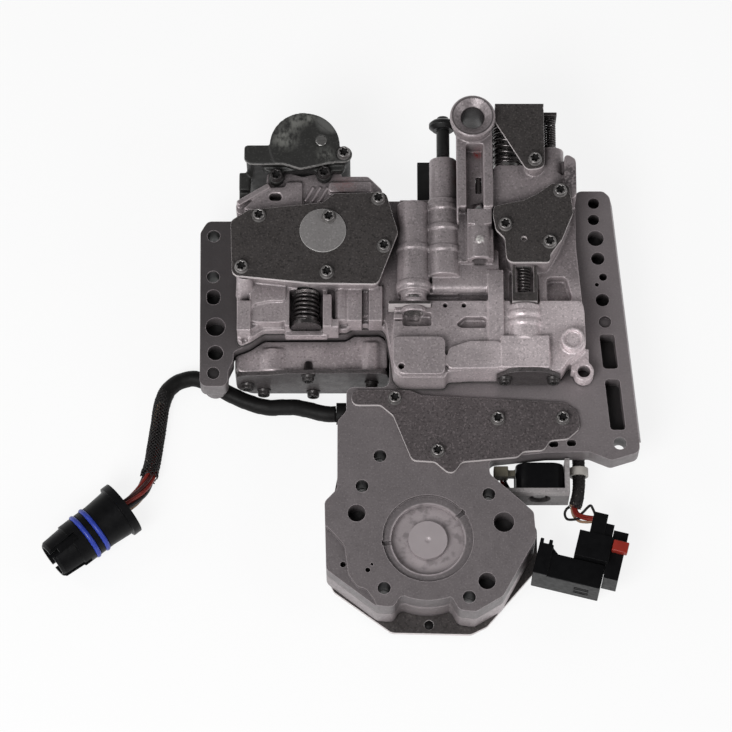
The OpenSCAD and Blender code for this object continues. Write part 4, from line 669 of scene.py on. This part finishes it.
def cast_copy(name, voxel, smoothing, triangles, boxes):
    """A casting's solid with every edge and corner run together, as a sand or die casting has."""
    made = welded(name)
    mesh = bpy.data.meshes.new(name + "_cast")
    made.to_mesh(mesh)
    made.free()
    work = add_object(name + "_work", mesh)
    cutters = cut_away(work, boxes)
    remesh = work.modifiers.new("remesh", "REMESH")
    remesh.mode = "VOXEL"
    remesh.voxel_size = voxel
    smooth = work.modifiers.new("smooth", "SMOOTH")
    smooth.factor = 0.5
    smooth.iterations = smoothing
    bpy.context.view_layer.update()
    graph = bpy.context.evaluated_depsgraph_get()
    count = sum(len(p.vertices) - 2 for p in work.evaluated_get(graph).to_mesh().polygons)
    if count > triangles:
        thin = work.modifiers.new("thin", "DECIMATE")
        thin.ratio = triangles / count
    graph = bpy.context.evaluated_depsgraph_get()
    final = bpy.data.meshes.new_from_object(work.evaluated_get(graph))
    for spent in [work] + cutters:
        bpy.data.objects.remove(spent)
    shade_smooth(final)
    slot = next(p["material_slot"] for p in frame["record"]["subparts"] if p["node"] == name)
    new_piece(name + "_cast", final, slot, replaced=[name])


def islands(name):
    """The box of each separate solid of a node."""
    made = welded(name)
    left = set(made.verts)
    boxes = []
    while left:
        todo = [next(iter(left))]
        found = set(todo)
        while todo:
            vert = todo.pop()
            for edge in vert.link_edges:
                other = edge.other_vert(vert)
                if other not in found:
                    found.add(other)
                    todo.append(other)
        left -= found
        low = Vector([min(v.co[i] for v in found) for i in range(3)])
        high = Vector([max(v.co[i] for v in found) for i in range(3)])
        boxes.append((low, high))
    made.free()
    return sorted(boxes, key=lambda box: tuple(box[0]))


# A screw, from its seat up to the rim of its star recess, and the recess from its rim down: rows of height
# above the seat and radius, in mm
HEAD_HEIGHT = 3.6 * MM
SHANK_RADIUS = 1.95
HEAD_OUTLINE = (
    (0, SHANK_RADIUS), (0, 3.8), (0.2, 3.98), (0.7, 3.98), (0.95, 3.5),
    (2.16, 3.42), (3.096, 3.36), (3.492, 3.1), (3.6, 2.85),
)
STAR_OUTLINE = ((3.546, 2.32), (3.312, 2.2), (1.2, 2.068))
STAR_LOBE = 0.4
STAR_POINTS = 6
SCREW_SIDES = 36
# Finishes of a screw: clean steel, painted shade in its recess, and dark oiled steel, which also paints
# shade, for the screws of the end covers and of the accumulator's flange, which lie behind and to the left
# of a corner
SCREW_FINISHES = (
    MATERIALS["screw_steel"],
    moulding("recess_shade", (0.006, 0.005, 0.005), (0.6, 0.8)),
    turned_metal("oiled_shaded_screw", (0.05, 0.045, 0.045), 0.5, (0.3, 0.45)),
)
CLEAN = 0
RECESS = 1
OILED_SHADED = 2
FLANGE_LEFT_OF = -50 * MM
FLANGE_BEHIND = 200 * MM


def ring(made, points):
    return [made.verts.new(p) for p in points]


def turned(side, across, angle):
    """The direction at an angle between two directions that stand square to each other."""
    return side * math.cos(angle) + across * math.sin(angle)


def bridge(made, a, b, material=0):
    count = len(a)
    for i in range(count):
        j = (i + 1) % count
        made.faces.new((a[i], a[j], b[j], b[i])).material_index = material


def screw(made, top, axis, length, finish):
    """A flanged round head with a star recess and a shank; top is the middle of the head's top face."""
    seat = top - axis * HEAD_HEIGHT
    side = axis.orthogonal().normalized()
    across = axis.cross(side)

    def circle(height, radius, lobe=0.0):
        return ring(made, [
            seat + axis * height + turned(side, across, a) * (radius + lobe * math.cos(STAR_POINTS * a))
            for a in (2 * math.pi * i / SCREW_SIDES for i in range(SCREW_SIDES))
        ])

    loops = [circle(-length, SHANK_RADIUS * MM)]
    loops += [circle(height * MM, radius * MM) for height, radius in HEAD_OUTLINE]
    loops += [circle(height * MM, radius * MM, STAR_LOBE * MM) for height, radius in STAR_OUTLINE]
    for i, (a, b) in enumerate(zip(loops, loops[1:])):
        bridge(made, a, b, RECESS if i == len(loops) - 2 else finish)
    made.faces.new(loops[0]).material_index = finish
    made.faces.new(loops[-1]).material_index = RECESS


def dress_screws():
    """Flanged star screws in place of the plain solids."""
    directions = {
        "cover_screws": Vector((0, 0, 1)),
        "stiffener_screws": Vector((0, 0, 1)),
        "end_cover_screws": Vector((0, -1, 0)),
        "housing_screws": Vector((0, 0, -1)),
    }
    for name, axis in directions.items():
        def build(made):
            for low, high in islands(name):
                middle = (low + high) / 2
                reach = abs((high - low).dot(axis))
                on_flange = middle.y > FLANGE_BEHIND and middle.x < FLANGE_LEFT_OF
                # Dark oiled steel, which also paints shade, for screws behind a corner
                finish = OILED_SHADED if axis.y < 0 or on_flange else CLEAN
                screw(made, middle + axis * reach / 2, axis, reach - HEAD_HEIGHT, finish)
        piece = new_piece(name + "_star", mesh_from(name, build), "screw_steel", replaced=[name])
        paint(piece, *SCREW_FINISHES)


# Springs: wire thickness in mm, turns, the axis they lie along, the joint that shortens them, its travel in
# mm, and whether the fixed end is the high one
SPRINGS = {
    "regulator_spring": (2.2, 8.5, 1, "regulator_valve_slide", 5.0, 1),
    "switch_spring": (1.1, 13, 1, "switch_valve_slide", 4.0, 1),
    "throttle_spring": (1.2, 10, 1, "throttle_valve_slide", 4.0, 1),
    "shuttle_spring": (1.7, 7, 1, "shuttle_valve_slide", 4.0, 0),
    "boost_spring": (1.3, 6, 1, "boost_valve_slide", 4.0, 0),
    "shift_spring_12": (1.3, 6, 1, "shift_valve_12_slide", 5.0, 1),
    "shift_spring_23": (1.3, 6, 1, "shift_valve_23_slide", 5.0, 1),
    "detent_spring": (1.1, 6, 1, "detent_ball_slide", 3.0, 0),
    "accumulator_spring": (2.2, 6, 2, "accumulator_piston_slide", 8.0, 1),
}
# A spring that two joints press: the joint at its high end, that joint's travel, and the share of the turns
# that the first joint presses
SHARED_SPRINGS = {"throttle_spring": ("kickdown_plunger_slide", 3.0, 0.6)}
SPRING_STEPS = 28
SPRING_SIDES = 10
# The turns at each end that lie close, so that a spring stands square on its seats
CLOSE_TURNS = 0.7


def carried(path):
    """Each point of a path with two directions across it that don't twist, and the way travelled."""
    side = None
    travelled = 0.0
    for i, point in enumerate(path):
        along = (path[min(i + 1, len(path) - 1)] - path[max(i - 1, 0)]).normalized()
        side = along.orthogonal() if side is None else side - along * side.dot(along)
        side.normalize()
        if i:
            travelled += (point - path[i - 1]).length
        yield point, side.copy(), along.cross(side), travelled


def tube(made, path, radius, sides, material=0):
    """A round tube along a path; radius is a number or a function of the way travelled and the angle."""
    loops = []
    for point, side, across, s in carried(path):
        loop = []
        for k in range(sides):
            angle = 2 * math.pi * k / sides
            reach = radius(s, angle) if callable(radius) else radius
            loop.append(point + turned(side, across, angle) * reach)
        loops.append(ring(made, loop))
    for a, b in zip(loops, loops[1:]):
        bridge(made, a, b, material)
    for loop in (loops[0], loops[-1]):
        made.faces.new(loop).material_index = material


def dress_springs():
    """Wound wires in place of the plain springs; a spring that two joints press is made in two pieces."""
    for name, (wire, turns, axis, joint, travel, fixed_high) in SPRINGS.items():
        low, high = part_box(name)
        middle = (low + high) / 2
        length = high[axis] - low[axis]
        across = [i for i in range(3) if i != axis]
        radius = (high[across[0]] - low[across[0]] - wire * MM) / 2
        steps = int(turns * SPRING_STEPS)
        path = []
        for i in range(steps + 1):
            turn = turns * i / steps
            share = min(1.0, max(0.0, (turn - CLOSE_TURNS) / (turns - 2 * CLOSE_TURNS)))
            point = middle.copy()
            point[axis] = low[axis] + wire * MM / 2 + share * (length - wire * MM)
            point[across[0]] += radius * math.cos(2 * math.pi * turn)
            point[across[1]] += radius * math.sin(2 * math.pi * turn)
            path.append(point)
        direction = Vector((0, 0, 0))
        direction[axis] = 1
        anchor = high.copy() if fixed_high else low.copy()
        pieces = [(name + "_wire", path, joint, travel, length)]
        if name in SHARED_SPRINGS:
            second, second_travel, share = SHARED_SPRINGS[name]
            cut = int(len(path) * share)
            anchor = path[cut]
            pieces = [
                (name + "_wire", path[:cut + 1], joint, travel, anchor[axis] - low[axis]),
                (name + "_end", path[cut:], second, second_travel, high[axis] - anchor[axis]),
            ]
        for title, line, moved_by, way, reach in pieces:
            mesh = mesh_from(title, lambda made: tube(made, line, wire * MM / 2, SPRING_SIDES))
            piece = new_piece(title, mesh, "spring_steel", replaced=[name] if line[0] == path[0] else [])
            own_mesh(piece)
            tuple(anchor)


# Routes of the harness, as in the solids
HARNESS_ROUTE = [
    (-51, 81, -25), (-57, 81, -25), (-66, 83.6, -26.4), (-74, 86, -28.6), (-82, 87, -31.2),
    (-90, 87.8, -33.4), (-100, 90.8, -34.2), (-110, 95.2, -34.2), (-121, 101.4, -34.2),
    (-131, 105.4, -34.2),
    (-140, 103.6, -34.2), (-146.6, 98, -34.2), (-150, 89, -34.2), (-151.4, 78, -34.2),
    (-153, 66, -34.2), (-154.6, 54, -33.4), (-156.6, 44, -30.6), (-159.8, 35.6, -26.8),
    (-164.6, 29, -23.6), (-170, 24.3, -22.9), (-176.7, 18.9, -22.9),
]
BRANCH_ROUTE = [
    (66, 104, -26), (73, 104, -26), (79, 99, -25.4), (82.8, 90, -23.8), (84.4, 79, -21.6),
    (84.8, 67, -19.8), (84.8, 56, -19), (84.8, 45, -19), (84.8, 37, -19.2), (84, 30, -20),
    (82.4, 24, -21.4),
]
# Where the main harness changes from tape to open braid, and where the braid is cut, by route point
TAPE_END = 12
BRAID_END = 16
# Loose wires from the branch to the plug, and the solenoid's leads: thickness, finish and route
LOOSE_WIRES = [
    (1.5, "black", [(79.4, 24.4, -21), (77.8, 23.4, -20.6), (76.7, 20.6, -21), (78, 17.3, -20.4),
                    (82.3, 16.1, -17), (86.5, 16.1, -13), (92.4, 15.2, -10)]),
    (1.5, "black", [(83, 23.6, -21), (84.3, 19, -18), (86.3, 19.1, -14), (88.3, 20.1, -9.4),
                    (90.3, 21, -7), (91.6, 18.6, -6.6), (92.8, 15.6, -6.8)]),
    (1.9, "red", [(81.4, 24.2, -20.4), (82.4, 19.6, -18), (85.3, 16.3, -14), (88.3, 14.4, -11),
                  (92, 13.4, -9)]),
    (1.9, "red", [(82.6, 24, -20), (83.6, 19.8, -17), (86.5, 16.8, -13), (92.2, 14.2, -8)]),
    (1.6, "tan", [(80.6, 24.2, -21.6), (81.5, 19.3, -20), (84.1, 14.9, -16), (87.6, 12.9, -12),
                  (91.8, 12.6, -10)]),
]
SOLENOID_LEADS = [
    (1.8, "red", [(41, 40.6, -16), (42, 38.4, -20), (44.6, 36.4, -23.6), (48, 34.8, -26.6),
                  (51.4, 35, -27.4)]),
    (1.8, "black", [(42.6, 41.4, -16), (44, 38.4, -20.4), (46.4, 36, -25), (49, 34.8, -28.4),
                    (52, 35.6, -28)]),
]
# Finishes of the wires in a loom, the middle one first
LOOM_WIRES = ("dark_red", "red", "black", "dark_red", "tan", "black", "red", "dark_red")
# Looms: how far out the wires lie, their own radius and their twist; the tape or skin; the braid over it
MAIN_WIRES = {"reach": 2.65 * MM, "wire": 1.2 * MM, "pitch": 110 * MM}
MAIN_TAPE = {"radius": 4.7 * MM, "pitch": 9 * MM}
MAIN_BRAID = {"radius": 4.35 * MM, "strands": 12, "pitch": 24 * MM, "thread": 0.42 * MM, "flare": 1.1 * MM}
BRANCH_WIRES = {"reach": 2.0 * MM, "wire": 0.95 * MM, "pitch": 90 * MM}
BRANCH_SKIN = {"radius": 3.3 * MM, "pitch": 14 * MM}
BRANCH_BRAID = {"radius": 3.3 * MM, "strands": 10, "pitch": 18 * MM, "thread": 0.28 * MM, "flare": 0.7 * MM}
# Spacing of the points along a route, a tape, a braid and a single wire
ROUTE_STEP = 2.0 * MM
TAPE_STEP = 1.4 * MM
BRAID_STEP = 1.1 * MM
WIRE_STEP = 0.8 * MM
# Sides of the tubes
TAPE_SIDES = 24
SKIN_SIDES = 20
LOOM_WIRE_SIDES = 8
WIRE_SIDES = 10
THREAD_SIDES = 4
# Tape: the step at each turn, and the height and length of its waves
LAP_HEIGHT = 0.22 * MM
WAVE_HEIGHT = 0.10 * MM
WAVE_LENGTH = 7 * MM
# The cut end of a braid: how far threads differ in length, and how far back they spread
FRAY_STEP = 0.9 * MM
FLARE_LENGTH = 9 * MM


def smooth_route(points, step=ROUTE_STEP):
    """Points close together on a smooth curve through a route given in millimetres."""
    knots = [Vector(p) * MM for p in points]
    knots = [2 * knots[0] - knots[1]] + knots + [2 * knots[-1] - knots[-2]]
    path = []
    for i in range(1, len(knots) - 2):
        a, b, c, d = knots[i - 1:i + 3]
        count = max(2, int((c - b).length / step))
        for k in range(count):
            t = k / count
            path.append(
                0.5 * (2 * b + (c - a) * t + (2 * a - 5 * b + 4 * c - d) * t ** 2
                       + (3 * b - a - 3 * c + d) * t ** 3)
            )
    path.append(knots[-2])
    return path


def length_of(path):
    return sum((b - a).length for a, b in zip(path, path[1:]))


def bundle(made, path, finishes, reach, wire, pitch):
    """Wires laid round one in the middle, each with its own finish."""
    rows = list(carried(path))
    tube(made, path, wire, LOOM_WIRE_SIDES, finishes[0])
    for k, finish in enumerate(finishes[1:]):
        line = []
        for point, side, across, s in rows:
            angle = 2 * math.pi * (k / (len(finishes) - 1) + s / pitch)
            line.append(point + turned(side, across, angle) * reach)
        tube(made, line, wire, LOOM_WIRE_SIDES, finish)


def braid(made, path, radius, strands, pitch, thread, flare):
    """Threads that wind both ways round a path, pass over and under each other, and fray at the end."""
    rows = list(carried(path))
    whole = rows[-1][3]
    for way in (1, -1):
        for k in range(strands):
            line = []
            stop = whole - (k * 7 % 5) * FRAY_STEP
            for point, side, across, s in rows:
                if s > stop:
                    break
                angle = way * 2 * math.pi * s / pitch + 2 * math.pi * k / strands
                lift = 0.35 * thread * way * math.cos(strands * 2 * math.pi * s / pitch)
                lift += flare * max(0.0, 1 - (whole - s) / FLARE_LENGTH) ** 2 * (0.4 + (k * 3 % 4) / 4)
                line.append(point + turned(side, across, angle) * (radius + lift))
            tube(made, line, thread, THREAD_SIDES)


def wrapped(radius, pitch):
    """The reach of a tape wound round a harness, with a low step at each turn and an uneven skin."""
    def reach(s, angle):
        lap = (s / pitch + angle / (2 * math.pi)) % 1.0
        return radius - LAP_HEIGHT * lap + WAVE_HEIGHT * math.sin(3 * angle + s / WAVE_LENGTH)
    return reach


def wire_group(name, rows, replaced=()):
    """Single wires with their own finishes, as one piece."""
    finishes = list(WIRES)

    def build(made):
        for thickness, finish, route in rows:
            path = smooth_route(route, WIRE_STEP)
            tube(made, path, thickness * MM / 2, WIRE_SIDES, finishes.index(finish))
    built_piece(name, "wire", build, replaced, WIRES.values())


def dress_harness():
    """Taped and braided looms over their wires, for the main harness and its branch."""
    finishes = list(WIRES)
    order = [finishes.index(finish) for finish in LOOM_WIRES]
    path = smooth_route(HARNESS_ROUTE)
    taped = smooth_route(HARNESS_ROUTE[:TAPE_END + 1], TAPE_STEP)
    open_part = smooth_route(HARNESS_ROUTE[:BRAID_END + 1], BRAID_STEP)
    open_part = open_part[len(smooth_route(HARNESS_ROUTE[:TAPE_END], BRAID_STEP)):]
    core = built_piece("harness_main_core", "wire", lambda made: bundle(made, path, order, **MAIN_WIRES),
                       ["harness_main"], WIRES.values())
    tape = built_piece("harness_main_tape", "black_rubber",
                       lambda made: tube(made, taped, wrapped(**MAIN_TAPE), TAPE_SIDES))
    sleeve = built_piece("harness_main_sleeve", "braid", lambda made: braid(made, open_part, **MAIN_BRAID))
    tuple(path[0])
    length_of(path)
    [tuple(p) for p in path]

    path = smooth_route(BRANCH_ROUTE)
    fine = smooth_route(BRANCH_ROUTE, BRAID_STEP)
    core = built_piece("harness_branch_core", "wire",
                       lambda made: bundle(made, path, order[1:], **BRANCH_WIRES),
                       ["harness_branch"], WIRES.values())
    skin = built_piece("harness_branch_skin", "braid",
                       lambda made: tube(made, fine[:-1], wrapped(**BRANCH_SKIN), SKIN_SIDES))
    sleeve = built_piece("harness_branch_sleeve", "braid", lambda made: braid(made, fine, **BRANCH_BRAID))
    tuple(path[0])
    length_of(path)
    [tuple(p) for p in path]
    wire_group("branch_wires_single", LOOSE_WIRES, ["branch_wires"])
    wire_group("solenoid_leads", SOLENOID_LEADS)


# Brightness of the room at the horizon, overhead and where the camera sees it
HORIZON_LEVEL = 0.5
OVERHEAD_LEVEL = 0.1
SEEN_LEVEL = 0.95
# Floor: half its width in metres, its gap under the part, its tone and how far it glows to the camera
FLOOR_REACH = 4
FLOOR_GAP = 0.05 * MM
FLOOR_TONE = 0.86
FLOOR_GLOW = 0.85
# Softboxes turned to one target: name, place and size in metres, and power
LIGHT_TARGET = Vector((-0.03, 0.1, 0))
SOFTBOXES = (
    ("key", (-0.55, -0.85, 1.25), 0.9, 21.0),
    ("left", (-1.2, 0.3, 0.9), 0.6, 2.5),
    ("right", (1.2, -0.2, 0.8), 0.6, 3.5),
)


def floor_material():
    """Pale floor that is white to the camera and in reflections, and still takes a soft shadow."""
    s = Shader("floor", roughness=0.9, specular=0.0)
    s.surface.inputs["Base Color"].default_value = (FLOOR_TONE, FLOOR_TONE, FLOOR_TONE, 1)
    glow = s.tree.nodes.new("ShaderNodeEmission")
    glow.inputs["Strength"].default_value = 1.0
    path = s.tree.nodes.new("ShaderNodeLightPath")
    seen = s.math("MAXIMUM", path.outputs["Is Camera Ray"], path.outputs["Is Glossy Ray"])
    seen = s.math("MAXIMUM", seen, path.outputs["Is Transmission Ray"])
    blend = s.tree.nodes.new("ShaderNodeMixShader")
    s.link(s.both(seen, FLOOR_GLOW), blend.inputs["Fac"])
    s.link(s.surface.outputs["BSDF"], blend.inputs[1])
    s.link(glow.outputs["Emission"], blend.inputs[2])
    s.link(blend.outputs["Shader"], s.tree.nodes["Material Output"].inputs["Surface"])
    return s.material


def studio_world():
    """A room that is bright near the floor and dim overhead, and pale where the camera sees it."""
    world = bpy.data.worlds.new("studio")
    world.use_nodes = True
    tree = world.node_tree
    split = tree.nodes.new("ShaderNodeSeparateXYZ")
    tree.links.new(tree.nodes.new("ShaderNodeTexCoord").outputs["Generated"], split.inputs[0])
    room = tree.nodes.new("ShaderNodeValToRGB")
    for element, level in zip(room.color_ramp.elements, (HORIZON_LEVEL, OVERHEAD_LEVEL)):
        element.color = (level, level, level, 1)
    tree.links.new(split.outputs["Z"], room.inputs["Fac"])
    blend = tree.nodes.new("ShaderNodeMix")
    blend.data_type = "RGBA"
    tree.links.new(tree.nodes.new("ShaderNodeLightPath").outputs["Is Camera Ray"], blend.inputs[0])
    tree.links.new(room.outputs["Color"], blend.inputs[6])
    blend.inputs[7].default_value = (SEEN_LEVEL, SEEN_LEVEL, SEEN_LEVEL, 1)
    tree.links.new(blend.outputs[2], tree.nodes["Background"].inputs["Color"])
    return world


def make_stage():
    """The floor, the room and the lamps."""
    level = REST_Z - FLOOR_GAP
    corners = [(FLOOR_REACH * x, FLOOR_REACH * y, level) for x, y in ((-1, -1), (1, -1), (1, 1), (-1, 1))]
    floor = add_object("floor", mesh_from("floor", lambda made: made.faces.new(ring(made, corners))))
    paint(floor, floor_material())
    floor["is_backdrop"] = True
    bpy.context.scene.world = studio_world()
    for name, place, size, power in SOFTBOXES:
        data = bpy.data.lights.new(name, "AREA")
        data.shape = "DISK"
        data.size = size
        data.energy = power
        lamp = add_object(name, data)
        lamp.location = place
        lamp.rotation_euler = (LIGHT_TARGET - Vector(place)).to_track_quat("-Z", "Y").to_euler()


# The pin in the slot of the shaft arm: points along it in mm, its radius and sides
SLOT_PIN = [(29.3, 194, 19.6), (29.3, 198, 19.6), (29.3, 203, 19.6), (29.3, 208, 19.6)]
SLOT_PIN_RADIUS = 1.6 * MM
SLOT_PIN_SIDES = 16
# A dark plug in the plain hole of the bottom cover, standing in for the shade seen through it: its place,
# radius, levels as shares of the cover's height and sides
SHADE_PLUG_X = 0.8 * MM
SHADE_PLUG_Y = -40.5 * MM
SHADE_PLUG_RADIUS = 2.6 * MM
SHADE_PLUG_LEVELS = (0.02, 0.3, 0.6, 0.8)
SHADE_PLUG_SIDES = 20


def dress_slot():
    """The dark pin that lies in the slot of the shaft arm."""
    path = [Vector(p) * MM for p in SLOT_PIN]
    built_piece("slot_pin", "spring_steel", lambda made: tube(made, path, SLOT_PIN_RADIUS, SLOT_PIN_SIDES))


def dress_bottom_hole():
    """A dark plug that fills the plain hole of the bottom cover, as painted shade seen through it."""
    low, high = islands("bottom_cover")[0]
    path = [Vector((SHADE_PLUG_X, SHADE_PLUG_Y, low.z + (high.z - low.z) * share)) for share in SHADE_PLUG_LEVELS]
    built_piece("hole_shade_plug", "black_rubber", lambda made: tube(made, path, SHADE_PLUG_RADIUS, SHADE_PLUG_SIDES))


def write_sizes():
    boxes = {"cad": cad_box, "visual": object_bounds()}
    {k: [list(corner) for corner in box] for k, box in boxes.items()}


# Castings: size of the voxels in mm, rounds of smoothing, most triangles, and boxes taken out
CASTINGS = {
    "upper_housing": (0.5, 4, 195000, ARM_MOUTH),
    "lower_housing": (0.8, 3, 120000, ()),
    "accumulator_housing": (0.6, 3, 60000, ()),
    "accumulator_cover": (0.5, 3, 40000, ()),
}
# Solids in view and the width that their edges are rounded by, in mm
SOFT_EDGES = {
    "transfer_plate": 0.45,
    "left_cover_plate": 0.3,
    "right_cover_plate": 0.3,
    "stiffener_plate": 0.5,
    "regulator_bracket": 0.3,
    "spring_bracket": 0.3,
    "left_end_cover": 0.4,
    "right_end_cover": 0.4,
    "bottom_cover": 0.4,
    "id_tag": 0.2,
    "solenoid_bracket": 0.5,
    "solenoid_coil": 0.6,
    "solenoid_terminal": 0.6,
    "solenoid_plunger": 0.8,
    "sensor_block": 0.5,
    "sensor_connector": 0.6,
    "connector_lock": 0.6,
    "case_connector": 0.5,
    "manual_valve": 0.3,
    "loom_clip": 0.5,
    "rear_stop_bracket": 0.5,
    "accumulator_plug": 0.6,
    "boost_retainer": 0.3,
}

bpy.context.scene.view_settings.view_transform = "Standard"
make_camera()
dress_harness()
dress_nodes()
dress_springs()
dress_screws()
dress_slot()
dress_bottom_hole()
for casting, (voxel, smoothing, triangles, boxes) in CASTINGS.items():
    cast_copy(casting, voxel * MM, smoothing, triangles, boxes)
for solid, width in SOFT_EDGES.items():
    soften(solid, width * MM)
make_stage()
write_sizes()
